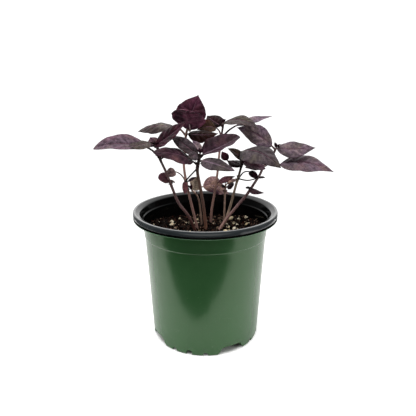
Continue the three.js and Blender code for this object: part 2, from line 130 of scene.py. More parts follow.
def new_piece(name, part, materials, face_material=None, sharp=40):
    """A mesh object of that part. face_material picks a material for each face, and edges that bend
    by more than sharp degrees stay crisp."""
    quads, tris = part["quads"], part["tris"]
    corners = np.concatenate([quads.ravel(), tris.ravel()])
    sizes = np.concatenate([np.full(len(quads), 4), np.full(len(tris), 3)])
    mesh = bpy.data.meshes.new(name)
    mesh.vertices.add(len(part["points"]))
    mesh.vertices.foreach_set("co", in_frame(part["points"]).astype(np.float32).ravel())
    mesh.loops.add(len(corners))
    mesh.loops.foreach_set("vertex_index", corners.astype(np.int32))
    mesh.polygons.add(len(sizes))
    mesh.polygons.foreach_set("loop_start", (np.cumsum(sizes) - sizes).astype(np.int32))
    for material in materials:
        mesh.materials.append(material)
    if face_material is not None:
        mesh.polygons.foreach_set("material_index", np.asarray(face_material, np.int32))
    mesh.update(calc_edges=True)
    if "uv" in part:
        layer = mesh.uv_layers.new(name="UVMap")
        layer.data.foreach_set("uv", part["uv"][corners].astype(np.float32).ravel())
    if "tint" in part:
        colours = np.concatenate([part["tint"], np.ones((len(part["tint"]), 1))], axis=1)
        layer = mesh.attributes.new("tint", "FLOAT_COLOR", "POINT")
        layer.data.foreach_set("color", colours.astype(np.float32).ravel())
    if "side" in part:
        layer = mesh.attributes.new("side", "FLOAT", "POINT")
        layer.data.foreach_set("value", part["side"].astype(np.float32).ravel())
    mesh.polygons.foreach_set("use_smooth", np.ones(len(sizes), bool))
    mesh.set_sharp_from_angle(angle=math.radians(sharp))
    piece = placed(name, mesh)
    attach(piece, "root")
    print(f"{name}: {len(quads) * 2 + len(tris)} triangles")
    return piece


# %% [markdown]
# ## Smooth lines
# A stem doesn't bend at its nodes like a wire: it flows through them. A Catmull-Rom curve passes
# through every given point, and the centripetal kind never overshoots between close points, which a
# Bezier curve with guessed handles would do. The solids use the same curve, so both agree.

# %% Smooth lines and tubes
SLANT = [0.31, 0.17, 0.05]  # keeps a tube's rings from twisting where its line is straight


def smooth_line(knots, steps):
    """Points along the centripetal Catmull-Rom curve through the knots, steps to each span, and
    the directions of travel there. Each span is a cubic whose end slopes come from its neighbours,
    weighed by the square roots of the distances between the knots."""
    knots = np.asarray(knots, float)
    knots = np.concatenate([[2 * knots[0] - knots[1]], knots, [2 * knots[-1] - knots[-2]]])
    gaps = np.sqrt(np.linalg.norm(np.diff(knots, axis=0), axis=1))[:, None]
    before, here, after = gaps[:-2], gaps[1:-1], gaps[2:]
    p0, p1, p2, p3 = knots[:-3], knots[1:-2], knots[2:-1], knots[3:]
    slope1 = ((p1 - p0) / before - (p2 - p0) / (before + here) + (p2 - p1) / here) * here
    slope2 = ((p2 - p1) / here - (p3 - p1) / (here + after) + (p3 - p2) / after) * here
    t = np.linspace(0, 1, steps, endpoint=False)[None, :, None]
    p1, p2, slope1, slope2 = (value[:, None] for value in (p1, p2, slope1, slope2))
    square, cube = t * t, t * t * t
    line = ((2 * cube - 3 * square + 1) * p1 + (cube - 2 * square + t) * slope1
            + (3 * square - 2 * cube) * p2 + (cube - square) * slope2)
    line = np.concatenate([line.reshape(-1, 3), [p2[-1, 0]]])
    return line, unit(np.gradient(line, axis=0))


def tube(line, travel, radii, tint, sides, square=0.0):
    """A skin round the line. Each ring is a circle of the given radius, across the direction of
    travel, and square lifts four low ridges on it. tint holds one colour for each ring."""
    lean = unit(travel[-1] - travel[0] + SLANT)
    across = unit(np.cross(travel, lean))
    other = np.cross(travel, across)
    angle = np.linspace(0, 2 * math.pi, sides, endpoint=False)
    reach = np.asarray(radii, float)[:, None] * (1 + square * np.cos(4 * angle))
    rings = (line[:, None] + across[:, None] * (reach * np.cos(angle))[..., None]
             + other[:, None] * (reach * np.sin(angle))[..., None])
    shape = rings.shape[:2]
    return skin(rings, tint=np.broadcast_to(tint[:, None], shape + (3,)),
                uv=np.zeros(shape + (2,)), side=np.full(shape, 0.5))


print("points on a line of four knots:", len(smooth_line(np.eye(4, 3), 8)[0]))

# %% [markdown]
# ## Camera
# The photograph was taken from a little above the rim. Its lens and place were worked out from the
# ellipses of the rim, the ledge and the foot. The principal point is the middle of the picture.

# %% Camera
PICTURE_PIXELS, FOCAL_PIXELS, SENSOR_MM = 416, 431.8, 36
CAMERA_PLACE = [0, -329.74, 204.35]
PITCH_DOWN, TURN_RIGHT = 16.58, 0.36  # degrees

lens = bpy.data.cameras.new("camera")
lens.sensor_width = SENSOR_MM
lens.lens = FOCAL_PIXELS / PICTURE_PIXELS * SENSOR_MM
lens.clip_start = 0.01
camera = placed("camera", lens)
camera.location = in_frame(CAMERA_PLACE)
camera.rotation_euler = (math.radians(90 - PITCH_DOWN), 0, math.radians(-TURN_RIGHT))
bpy.context.scene.camera = camera
print("lens, mm:", round(lens.lens, 2))

# %% [markdown]
# ## Materials: shared helpers
# A material is a small program of nodes. Writing it by hand takes many lines, so a helper adds a
# node and links its inputs in one call. Values that vary over the surface are linked, and constant
# ones are set on the shader's own socket.

# %% Node helpers
def add_node(tree, kind, inputs=(), **settings):
    """A node of that kind. inputs maps a socket's name or number to a value or another socket."""
    node = tree.nodes.new(kind)
    for key, value in settings.items():
        setattr(node, key, value)
    for key, value in dict(inputs).items():
        if isinstance(value, bpy.types.NodeSocket):
            tree.links.new(value, node.inputs[key])
        else:
            node.inputs[key].default_value = value
    return node


def calculate(tree, operation, *terms):
    """One sum, such as ADD or POWER, of up to three terms."""
    return add_node(tree, "ShaderNodeMath", dict(enumerate(terms)), operation=operation).outputs[0]


def times(tree, first, second):
    """The product of two values."""
    return calculate(tree, "MULTIPLY", first, second)


def vector_sum(tree, operation, *terms, output=0):
    """One sum of vectors. For a length or a dot product the output is called Value."""
    return add_node(tree, "ShaderNodeVectorMath", dict(enumerate(terms)),
                    operation=operation).outputs[output]


def blend_colours(tree, share, first, second, how="MIX"):
    """The first colour turning into the second as the share goes from 0 to 1."""
    return add_node(tree, "ShaderNodeMix", {0: share, 6: first, 7: second},
                    data_type="RGBA", blend_type=how).outputs[2]


def multiplied(tree, colour, factor):
    """A colour times another colour."""
    return blend_colours(tree, 1.0, colour, factor, "MULTIPLY")


def grey(tree, value):
    """A colour whose three parts are that value."""
    return add_node(tree, "ShaderNodeCombineColor", {0: value, 1: value, 2: value}).outputs[0]


def stepped(tree, value, low, high, out_low=0.0, out_high=1.0):
    """A smooth ramp: out_low below low, out_high above high."""
    return add_node(tree, "ShaderNodeMapRange",
                    {0: value, 1: low, 2: high, 3: out_low, 4: out_high},
                    interpolation_type="SMOOTHSTEP").outputs[0]


# %% [markdown]
# ## Materials: places and patterns
# A pattern needs a place to start from. Object coordinates are the piece's own metres, and as every
# piece lies at the origin, they are the frame's too: one noise runs through neighbouring pieces
# without a seam. Every material starts from the Principled shader, which covers plastic, soil and
# leaf alike.

# %% Place and pattern helpers
def object_place(tree):
    """Where the surface is, in the object's own metres."""
    return add_node(tree, "ShaderNodeTexCoord").outputs["Object"]


def stretched_place(tree, place, stretch):
    """The place times a factor along each axis, which squeezes a pattern along the larger ones."""
    return add_node(tree, "ShaderNodeMapping", {"Vector": place, "Scale": stretch}).outputs[0]


def from_axis(tree):
    """The distance from the pot's axis, in metres: the length of the level part of the offset."""
    offset = vector_sum(tree, "SUBTRACT", object_place(tree), tuple(POT_AXIS * MM))
    level = vector_sum(tree, "MULTIPLY", offset, (1, 1, 0))
    return vector_sum(tree, "LENGTH", level, output="Value")


def noise(tree, scale, detail=3.0, roughness=0.5, place=None):
    """A cloudy pattern from 0 to 1, with scale waves to the metre."""
    return add_node(tree, "ShaderNodeTexNoise", {
        "Vector": place or object_place(tree), "Scale": scale, "Detail": detail,
        "Roughness": roughness}).outputs["Fac"]


def stored(tree, name, output="Color"):
    """What the mesh keeps under that name for each point."""
    return add_node(tree, "ShaderNodeAttribute", attribute_name=name).outputs[output]


def new_material(name, **constants):
    """A material with its Principled shader, whose constant sockets are set here."""
    material = bpy.data.materials.new(name)
    material.use_nodes = True
    shader = material.node_tree.nodes["Principled BSDF"]
    for key, value in constants.items():
        shader.inputs[key.replace("_", " ").title().replace("Ior", "IOR")].default_value = value
    return material, material.node_tree, shader


def link_bump(tree, shader, height, distance, strength=1.0):
    """Height from 0 to 1 lifts the surface by the distance, in metres, as far as light can tell."""
    bump = add_node(tree, "ShaderNodeBump", {"Height": height, "Distance": distance,
                                             "Strength": strength})
    tree.links.new(bump.outputs["Normal"], shader.inputs["Normal"])


def effect(name, build):
    """A node group, whose named masks the function build works out."""
    group = bpy.data.node_groups.new(name, "ShaderNodeTree")
    outputs = build(group)
    for label in outputs:
        group.interface.new_socket(label, in_out="OUTPUT", socket_type="NodeSocketFloat")
    end = add_node(group, "NodeGroupOutput")
    for label, value in outputs.items():
        group.links.new(value, end.inputs[label])
    print(f"{name}: {len(group.nodes)} nodes, outputs {', '.join(outputs)}")
    return group


# %% [markdown]
# ## Marks of handling
# The pot is dulled by handling: faint cloudiness, fine scratches that run round it, and specks of
# dried water. All its plastics carry the same marks, so they are one node group. The scratches are
# a noise squeezed along the height, which makes long level streaks. A painted picture could show
# them too, but it would need an unwrapped pot.

# %% Handling marks
def mark_masks(tree):
    """Worn and Dull are sums of the marks, each times its share, and Cloud is the cloudiness
    alone."""
    place = object_place(tree)
    cloud = noise(tree, 38, 4, 0.6, place)
    scratch = stepped(tree, noise(tree, 300, 3, 0.7, stretched_place(tree, place, (1, 1, 9))),
                      0.62, 0.74)
    speck = stepped(tree, noise(tree, 900, 1, 0.5, place), 0.73, 0.79)
    worn = calculate(tree, "MULTIPLY_ADD", scratch, 0.12, times(tree, cloud, 0.16))
    worn = calculate(tree, "MULTIPLY_ADD", speck, 0.3, worn)
    dull = calculate(tree, "MULTIPLY_ADD", scratch, 0.08, times(tree, cloud, 0.14))
    return {"Worn": worn, "Dull": dull, "Cloud": cloud}


handling_marks = effect("handling_marks", mark_masks)

# %% [markdown]
# ## The pot's plastic
# The pot is drawn from a two-layer sheet: green outside, black inside. The green wall mirrors the
# pale floor, and the tint of its gloss keeps that reflection green. The black layer shows in three
# states. On the outside of the lip it is worn grey, partly real wear and partly a painted sheen,
# and a pale grey line along its crest is a painted highlight. On the inner wall its gloss is turned
# down, and in the narrow groove below the lip it is taken away, which paints the shade that falls
# in both. The cut edge under the lip shows the green layer again. The export loses a specular level
# that is linked to a mask, so each state is a material with a plain level of its own.

# %% The five finishes of the pot
# A painted highlight: the pale grey line along the lip's crest.
CREST_HIGHLIGHT_GREY = (0.17, 0.17, 0.17, 1)


def wear_and_highlight_on_lip(tree, ground, rubbed_and_sheen):
    """The worn colour, partly real wear and partly a painted sheen, where both the distance from the
    axis and the height are past a step, and above the crest's height a grey painted highlight."""
    height = add_node(tree, "ShaderNodeSeparateXYZ", {0: object_place(tree)}).outputs[2]
    outer = times(tree, stepped(tree, from_axis(tree), 55.5 * MM, 56.5 * MM),
                  stepped(tree, height, 102.0 * MM, 102.6 * MM))
    crest = stepped(tree, height, 105.65 * MM, 105.95 * MM)
    return blend_colours(tree, crest, blend_colours(tree, outer, ground, rubbed_and_sheen), CREST_HIGHLIGHT_GREY)


def plastic(name, colour, pale, roughness, rubbed_and_sheen=None, **constants):
    """Glossy plastic of that colour, whose marks turn it towards the pale colour."""
    material, tree, shader = new_material(name, ior=1.5, **constants)
    marks = add_node(tree, "ShaderNodeGroup", node_tree=handling_marks).outputs
    ground = blend_colours(tree, marks["Worn"], colour, pale)
    if rubbed_and_sheen:
        ground = wear_and_highlight_on_lip(tree, ground, rubbed_and_sheen)
    tree.links.new(ground, shader.inputs["Base Color"])
    tree.links.new(calculate(tree, "ADD", marks["Dull"], roughness - 0.07),
                   shader.inputs["Roughness"])
    link_bump(tree, shader, marks["Cloud"], 0.0004, 0.5)
    return material


BLACK, DUSTY_BLACK = (0.0012, 0.0013, 0.0013, 1), (0.006, 0.0065, 0.007, 1)
POT_FINISHES = [
    plastic("green_plastic", (0.027, 0.087, 0.029, 1), (0.10, 0.21, 0.10, 1), 0.2,
            specular_ior_level=0.58, specular_tint=(0.80, 1, 0.74, 1)),
    # Worn grey on the lip, partly real wear and partly a painted sheen; the crest is a painted
    # highlight.
    plastic("lip_plastic", BLACK, DUSTY_BLACK, 0.13, rubbed_and_sheen=(0.023, 0.028, 0.031, 1)),
    plastic("cut_edge_plastic", (0.07, 0.16, 0.08, 1), (0.16, 0.26, 0.17, 1), 0.35),
    # The inner wall and the groove are the lip's black with less gloss: painted shade.
    plastic("inner_plastic", BLACK, DUSTY_BLACK, 0.13, specular_ior_level=0.14),
    plastic("groove_plastic", BLACK, DUSTY_BLACK, 0.13, specular_ior_level=0.05),
]
GREEN, LIP, CUT_EDGE, INNER, GROOVE = range(5)
print("pot finishes:", ", ".join(material.name for material in POT_FINISHES))

# %% [markdown]
# ## The pot's profile
# A thermoformed pot is one turned profile: a tapering body, a stacking ledge that keeps nested pots
# apart, a collar, and a lip that rolls outwards and down. The profile is drawn as a polygon and its
# corners are rounded one by one, as a mould maker would write radii on a drawing. A lathe in
# Blender (the Screw modifier) could turn it, but the foot's notches need a change with the bearing,
# so the whole surface is computed.

# %% The profile's corners
RIM_HEIGHT, LEDGE_HEIGHT, WALL = 105.5, 86.0, 1.0
BASE_RADIUS, BODY_TOP_RADIUS, COLLAR_RADIUS, RIM_RADIUS = 43.7, 48.4, 48.9, 57.0
FLOOR_UNDER, FLOOR_TOP, HEEL, HEEL_HEIGHT = 6.8, 8.0, 2.6, 11.0
LIP_START = (52.3, RIM_HEIGHT - 2.2)  # from this corner on the black layer shows


def body_radius(height):
    """The outside of the body widens evenly from its foot to its ledge."""
    return BASE_RADIUS + (BODY_TOP_RADIUS - BASE_RADIUS) * height / LEDGE_HEIGHT


z = RIM_HEIGHT
outside = [  # radius, height and corner radius, from the floor's underside to the lip
    (0, FLOOR_UNDER, 0), (body_radius(FLOOR_UNDER) - HEEL, FLOOR_UNDER, 0.3),
    (BASE_RADIUS - 2.1, 0, 0.1), (BASE_RADIUS - 0.7, 0, 0.3), (BASE_RADIUS, 1.3, 0.4),  # foot
    (BODY_TOP_RADIUS, LEDGE_HEIGHT, 0.25), (COLLAR_RADIUS, LEDGE_HEIGHT + 0.5, 0.25),  # ledge
    (COLLAR_RADIUS + 0.5, z - 7.6, 0.5), (50.9, z - 6.1, 0.6), (51.4, z - 4, 1),  # collar
    (*LIP_START, 1), (54.8, z - 0.9, 0.8), (55.3, z - 1.8, 0.8), (54.9, z - 5.1, 0.15),  # roll
]
inside = [  # from the cut edge over the lip and down to the floor's top
    (55.3, z - 5.4, 0.1), (56.9, z - 5.4, 0.08), (56.9, z - 5.0, 0.08),  # cut edge
    (55.7, z - 4.8, 0.15), (55.7, z - 3.6, 0.2),  # groove
    (RIM_RADIUS, z - 3.3, 0.3), (RIM_RADIUS, z - 0.4, 0.8), (56.4, z + 0.5, 0.4),  # lip
    (55.4, z + 0.5, 0.6), (52.2, z - 0.9, 0.5), (51.4, z - 1.9, 0.5),  # crest, sloping inwards
    (50.0, z - 6.4, 0.2), (49.2, z - 7.2, 0.2), (COLLAR_RADIUS - WALL, LEDGE_HEIGHT + 0.6, 0.15),
    (BODY_TOP_RADIUS - WALL - 0.1, LEDGE_HEIGHT + 0.1, 0.15),
    (body_radius(HEEL_HEIGHT) - WALL, HEEL_HEIGHT, 1.5),
    (body_radius(FLOOR_TOP) - HEEL, FLOOR_TOP, 0.8), (0, FLOOR_TOP, 0),
]
print("corners outside and inside:", len(outside), len(inside))


# %% Rounding the corners
def rounded(corners, steps=4):
    """The polygon with each corner swapped for a short parabola that starts and ends one radius
    from the corner, or less where the sides are too short for it."""
    points = np.array([corner[:2] for corner in corners])
    line = [points[:1]]
    share = np.linspace(0, 1, steps + 1)[:, None]
    for before, here, after, corner in zip(points[:-2], points[1:-1], points[2:], corners[1:-1]):
        into, away = before - here, after - here
        start = here + into * min(0.48, corner[2] / np.linalg.norm(into))
        end = here + away * min(0.48, corner[2] / np.linalg.norm(away))
        line.append((1 - share) ** 2 * start + 2 * share * (1 - share) * here + share ** 2 * end)
    return np.concatenate(line + [points[-1:]])


def with_rows(line, longest):
    """The same line with extra points, so that no stretch is longer than the given length."""
    rows = [line[:1]]
    for start, end in zip(line[:-1], line[1:]):
        count = max(1, math.ceil(np.linalg.norm(end - start) / longest))
        rows.append(start + (end - start) * (np.arange(1, count + 1) / count)[:, None])
    return np.concatenate(rows)


profile = with_rows(rounded(outside + inside), 5)
print("profile points:", len(profile))

# %% [markdown]
# ## The pot's foot
# Water leaves under four wide notches and through small arches between them. On the real pot they
# are cut or moulded out of the foot's edge. Here the foot's lower edge follows one function of the
# bearing, and the rows above it are pressed closer together. A Boolean cut would do it too, but it
# leaves long thin faces that shade badly on a curved wall.

# %% Lower edge of the foot
NOTCH_BEARING, NOTCH_WIDTH, NOTCH_RISE, NOTCH_SPLAY = -62.0, 19.0, 6.2, 2.0
ARCHES = ((-17, 3.6, 2.2), (0, 4.4, 3.6), (17, 3.6, 2.2))  # bearing in its lobe, width, rise
FOOT_MIDDLE = 43.0  # radius at which the openings' widths are measured


def opening_height(offset, width, rise, splay):
    """Height of an opening at a distance from its middle: flat, rounded down at its sides, and then
    straight down over the splay."""
    corner = 0.7 * min(rise, width / 2)
    past = np.clip(np.abs(offset) - (width / 2 - corner), 0, None)
    round_part = rise - corner * (1 - np.sqrt(np.clip(1 - (past / corner) ** 2, 0, 1)))
    slant = (rise - corner) * np.clip(1 - (past - corner) / max(splay, 0.12), 0, 1)
    return np.where(past < corner, round_part, slant)


def lower_edge(bearing):
    """The highest of all openings at that bearing, in degrees."""
    edge = np.zeros_like(bearing)
    for turn in range(4):
        notch = NOTCH_BEARING + 90 * turn
        holes = [(notch, NOTCH_WIDTH, NOTCH_RISE, NOTCH_SPLAY)]
        holes += [(notch + 45 + step, width, rise, 0) for step, width, rise in ARCHES]
        for middle, width, rise, splay in holes:
            off = (bearing - middle + 180) % 360 - 180
            far_round = np.where(np.abs(off) > 60, 90, 0)
            offset = np.sin(np.radians(off)) * FOOT_MIDDLE + far_round
            edge = np.maximum(edge, opening_height(offset, width, rise, splay))
    return edge


# %% Bearings of the columns
COLUMNS = 240
STEEP = (  # middle of an opening, and the distances from it at which its side is steep, in degrees
    (0, np.linspace(9.5, 15.6, 13)), (45, np.linspace(1.6, 3.2, 7)),
    (28, np.linspace(1.2, 2.7, 6)), (62, np.linspace(1.2, 2.7, 6)))

steep = np.concatenate([NOTCH_BEARING + 90 * turn + middle + way * reaches
                        for turn in range(4) for middle, reaches in STEEP for way in (-1, 1)])
evenly = np.linspace(0, 360, COLUMNS, endpoint=False)
bearings = np.unique(np.round(np.concatenate([evenly, steep % 360]), 2))
print("columns:", len(bearings), "of which at steep sides:", len(steep))

# %% [markdown]
# ## The pot's surface
# The profile's radii and heights give one array of rows, the bearings one of columns, and their
# product is the whole shell. A real pot is never quite round, so it gets a slight oval that grows
# with the height. Which of the five finishes a face has follows from where its row lies.

# %% The pot's surface
FOOT_BAND = 7.4  # the rows below this height are pressed up by the foot's openings
OVAL = 0.0022

turned = np.radians(bearings)[None, :]
radius, height = profile[:, :1], profile[:, 1:]
edge = lower_edge(bearings)[None, :]
foot_rows = (height < FOOT_BAND) & (radius > BASE_RADIUS - 2.3)
pressed = np.where(foot_rows, edge + height * (FOOT_BAND - edge) / FOOT_BAND, height)
on_wall = foot_rows & (radius > BASE_RADIUS - 0.9)
wider = body_radius(pressed) - body_radius(height)
wider = radius + np.where(on_wall, wider, 0)
oval = 1 + OVAL * np.sin(2 * turned + 0.7) * pressed / RIM_HEIGHT
rings = np.stack([wider * oval * np.cos(turned), wider * oval * np.sin(turned), pressed], -1)
shell = skin(rings[1:-1])
print("shell rings:", len(rings) - 2)

# %% Finishes and the finished shell
row_radius, row_height = ((profile[1:-2] + profile[2:-1]) / 2).T
row = np.arange(len(row_radius))
lip_row = np.argmin(np.linalg.norm(profile - LIP_START, axis=1))
both_radii = np.minimum(profile[1:-2, 0], profile[2:-1, 0])

finish = np.where(row >= lip_row, LIP, GREEN)
finish[(row_radius > 54.5) & (row_height < RIM_HEIGHT - 3.5)] = GROOVE
finish[(row > np.argmax(row_height)) & (row_radius < 51.6)] = INNER  # past the crest
finish[(both_radii > 56.5) & (row_height < RIM_HEIGHT - 4.2)] = CUT_EDGE  # outside the groove
count = len(bearings)
finish_of_face = np.concatenate([np.repeat(finish, count), np.full(count, GREEN),
                                 np.full(count, INNER)])  # the last two are the floor's fans
pot = new_piece("pot_shell", shell, POT_FINISHES, finish_of_face, sharp=38)

# %% [markdown]
# ## Drain holes
# Five round holes go through the floor. Nothing shows them from the side, but the pot would be
# wrong from below without them. The floor is flat, so here a Boolean cut is the plain way.

# %% Drain holes
DRAIN_RADIUS, DRAIN_REACH, DRILL_HEIGHT, DRILL_LENGTH = 3.4, 32, 7.4, 4.0

drills = bmesh.new()
for turn in range(5):
    bearing = math.radians(NOTCH_BEARING + 45 + 90 * turn)
    reach = 0 if turn == 4 else DRAIN_REACH
    made = bmesh.ops.create_cone(drills, cap_ends=True, segments=40, radius1=DRAIN_RADIUS * MM,
                                 radius2=DRAIN_RADIUS * MM, depth=DRILL_LENGTH * MM)
    middle = in_frame([reach * math.cos(bearing), reach * math.sin(bearing), DRILL_HEIGHT])
    bmesh.ops.translate(drills, verts=made["verts"], vec=middle)
drill_mesh = bpy.data.meshes.new("drills")
drills.to_mesh(drill_mesh)
drills.free()
drill = placed("drills", drill_mesh)
cut = pot.modifiers.new("holes", "BOOLEAN")
cut.operation, cut.solver, cut.object = "DIFFERENCE", "EXACT", drill
with bpy.context.temp_override(object=pot, active_object=pot):
    bpy.ops.object.modifier_apply(modifier="holes")
bpy.data.objects.remove(drill)
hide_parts("nursery_pot")
print("pot faces after the cut:", len(pot.data.polygons))

# %% [markdown]
# ## Potting mix: its form
# The mix is peat and fine bark with white perlite. It settled lower at the front and back, stayed
# heaped against the wall at the sides, and stands a little proud round the stems. Sculpting or a
# displacement picture could shape it, but one formula for the height serves twice: the surface
# follows it, and every loose grain finds its own seat with it.

# %% Broad form and lumps
SOIL_LEVEL, SIDE_HEAP, RIPPLE = 84.6, 6.0, 0.55
MOUND_HEIGHT, MOUND_SPREAD, MOUND_PLACE = 4.6, 17.0, (5, 4)
LATTICE = 64


def value_lumps(x, y, size, seed):
    """Smooth random heights from -1 to 1 with bumps of about that size: random values at the
    corners of a square lattice, eased from one to the next."""
    lattice = np.random.default_rng(seed).uniform(-1, 1, (LATTICE, LATTICE))
    x, y = x / size + 1000, y / size + 1000
    column, line = np.floor(x).astype(int), np.floor(y).astype(int)
    x, y = x - column, y - line
    x, y = x * x * (3 - 2 * x), y * y * (3 - 2 * y)
    sides = [lattice[column % LATTICE, (line + up) % LATTICE] * (1 - x)
             + lattice[(column + 1) % LATTICE, (line + up) % LATTICE] * x for up in (0, 1)]
    return sides[0] * (1 - y) + sides[1] * y


def soil_height(x, y):
    """The level at the wall, a bell-shaped mound round the stems, a heap that grows with the square
    of the distance to the left and right, crossing waves, and lumps of two sizes."""
    off_mound = (x - MOUND_PLACE[0]) ** 2 + (y - MOUND_PLACE[1]) ** 2
    mound = MOUND_HEIGHT * np.exp(-off_mound / (2 * MOUND_SPREAD ** 2))
    ripple = np.sin(0.43 * x + 1.3) * np.cos(0.37 * y + 0.4) + np.sin(0.81 * y - 0.52 * x)
    broad = SOIL_LEVEL + mound + SIDE_HEAP * (x / BODY_TOP_RADIUS) ** 2 + RIPPLE * ripple
    return broad + 0.55 * value_lumps(x, y, 3.1, 1) + 0.4 * value_lumps(x, y, 1.3, 2)


print("soil height at the stems and at the right, mm:",
      [round(float(soil_height(x, 4.0)), 1) for x in (5.0, 45.0)])

# %% [markdown]
# ## Potting mix: its loose grains
# Crumbs, bark slivers and perlite lie loose on the mix. Bump alone shows no grains where the
# surface is seen from low down, and a particle system wouldn't reach the exported model. So each
# grain is a small knobbly ball, and one array holds them all: a ball's points, times a random size,
# turned by a random rotation, at a random place.

# %% Loose grains
STREWN_REACH, CROWD_REACH, CROWD_SPREAD = 46.3, 45.5, 4.2  # mm


def lump_shape(subdivisions):
    """Points and triangles of a ball made of equal triangles, read from Blender's icosphere."""
    ball = bmesh.new()
    bmesh.ops.create_icosphere(ball, subdivisions=subdivisions, radius=1)
    mesh = bpy.data.meshes.new("lump")
    ball.to_mesh(mesh)
    ball.free()
    points = np.empty(3 * len(mesh.vertices), np.float32)
    tris = np.empty(len(mesh.loops), np.int32)
    mesh.vertices.foreach_get("co", points)
    mesh.loops.foreach_get("vertex_index", tris)
    bpy.data.meshes.remove(mesh)
    return points.reshape(-1, 3), tris.reshape(-1, 3)


def random_turns(rng, count):
    """Random rotation matrices, from random four-part numbers of length one."""
    w, x, y, z = unit(rng.normal(size=(count, 4))).T
    return np.stack([
        np.stack([1 - 2 * (y * y + z * z), 2 * (x * y - w * z), 2 * (x * z + w * y)], -1),
        np.stack([2 * (x * y + w * z), 1 - 2 * (x * x + z * z), 2 * (y * z - w * x)], -1),
        np.stack([2 * (x * z - w * y), 2 * (y * z + w * x), 1 - 2 * (x * x + y * y)], -1)], -2)


def scattered(rng, places, sizes, tints, subdivisions=1, rough=0.3, sink=0.2):
    """One knobbly ball for each place, stretched to its three sizes, turned at random, and sunk
    into the surface by a share of its smallest size."""
    points, tris = lump_shape(subdivisions)
    knobs = 1 + rough * rng.uniform(-1, 1, (len(places), len(points), 1))
    balls = points * knobs * sizes[:, None]
    grains = np.einsum("nij,npj->npi", random_turns(rng, len(places)), balls)
    grains += places[:, None] + [0, 0, 1] * (sizes.min(1) * (1 - 2 * sink))[:, None, None]
    index = tris[None] + (np.arange(len(places)) * len(points))[:, None, None]
    return {"points": grains.reshape(-1, 3), "tris": index.reshape(-1, 3),
            "quads": np.zeros((0, 4), int), "tint": np.repeat(tints, len(points), axis=0)}


def surface_places(rng, count, crowd=None):
    """Random places on the mix: evenly spread, because the distance from the axis is the root of an
    even number, or bell-shaped heaps round the crowd's middles."""
    reach = STREWN_REACH * np.sqrt(rng.uniform(0, 1, count))
    angle = rng.uniform(0, 2 * math.pi, count)
    x, y = reach * np.cos(angle), reach * np.sin(angle)
    if crowd is not None:
        middles = np.array(crowd, float)[rng.integers(0, len(crowd), count)]
        x = middles[:, 0] + rng.normal(0, CROWD_SPREAD, count)
        y = middles[:, 1] + rng.normal(0, CROWD_SPREAD, count)
        inside_pot = np.hypot(x, y) < CROWD_REACH
        x, y = x[inside_pot], y[inside_pot]
    return np.stack([x, y, soil_height(x, y)], -1)


print("faces of a small and a fine lump:", [len(lump_shape(k)[1]) for k in (1, 2)])

# %% [markdown]
# ## Potting mix: its finishes
# Moist peat is nearly black and hardly shines. Each grain carries its own tint, and damp patches,
# a wide noise, darken all of them and smooth them a little. Perlite is a puffed glass, matt and
# cream white, which soaks up brown water: its noise turns the tint brownish in places. A fine bump
# stands for the fibres and pores that are smaller than any face.

# %% Soil and perlite
BROWN_WATER = (0.72, 0.60, 0.44, 1)

soil_matter, tree, shader = new_material("potting_mix", specular_ior_level=0.12)
tint = stored(tree, "tint")
damp = stepped(tree, noise(tree, 160, 4, 0.6), 0.35, 0.7)
darker = multiplied(tree, tint, (0.45, 0.42, 0.4, 1))
tree.links.new(blend_colours(tree, damp, darker, tint), shader.inputs["Base Color"])
tree.links.new(stepped(tree, damp, 0, 1, 0.72, 0.95), shader.inputs["Roughness"])
link_bump(tree, shader, noise(tree, 1500, 4, 0.65), 0.0006, 0.9)

perlite_matter, tree, shader = new_material("perlite", roughness=0.9)
tint = stored(tree, "tint")
stained = stepped(tree, noise(tree, 500, 3, 0.6), 0.4, 0.75)
brownish = multiplied(tree, tint, BROWN_WATER)
tree.links.new(blend_colours(tree, stained, tint, brownish), shader.inputs["Base Color"])
link_bump(tree, shader, noise(tree, 2600, 3, 0.6), 0.0004, 0.8)
print("finishes:", soil_matter.name, perlite_matter.name)

# %% [markdown]
# ## Potting mix: its body
# The body fills the pot down to its floor, as the solid does, a third of a millimetre clear of the
# wall. Its top is a set of rings that close in on the axis and ride up and down with the height
# formula. Rings share the pot's form, so the mix meets the round wall evenly, which a square grid
# wouldn't do.

# %% The mix's body
SOIL_REACH, TOP_RINGS, TOP_COLUMNS = 47.0, 58, 176
LOWER_BODY = np.array([[1, 8.35], [41.3, 8.35], [42.9, 11.4], [44.3, 40], [46.2, 76]])
PEAT, BARK, RUST = np.array([[0.0045, 0.0022, 0.0016], [0.07, 0.040, 0.029], [0.075, 0.020, 0.010]])
STRAW, CREAM, IVORY = np.array([[0.34, 0.25, 0.18], [0.86, 0.72, 0.46], [0.95, 0.90, 0.76]])

angle = np.linspace(0, 2 * math.pi, TOP_COLUMNS, endpoint=False)
low = np.stack([LOWER_BODY[:, :1] * np.cos(angle), LOWER_BODY[:, :1] * np.sin(angle),
                np.broadcast_to(LOWER_BODY[:, 1:], (len(LOWER_BODY), TOP_COLUMNS))], -1)
closing_in = np.linspace(SOIL_REACH, 0.8, TOP_RINGS)[:, None]
x, y = closing_in * np.cos(angle), closing_in * np.sin(angle)
rings = np.concatenate([low, np.stack([x, y, soil_height(x, y)], -1)])
rng = np.random.default_rng(11)
tints = PEAT + (BARK - PEAT) * 0.35 * rng.uniform(0, 1, rings.shape[:2])[..., None] ** 4
mix = new_piece("mix_surface", skin(rings, tint=tints), [soil_matter], sharp=60)
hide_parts("potting_mix")

# %% [markdown]
# ## Crumbs and slivers
# Most crumbs are peat of half a millimetre. A few are larger, a few are rusty bark or pale straw,
# which is what makes the mix look coarse. High powers of a random number give many small grains
# and few large or pale ones, as a sieve would.

# %% Crumbs and slivers
CRUMBS, SLIVERS = 2600, 260

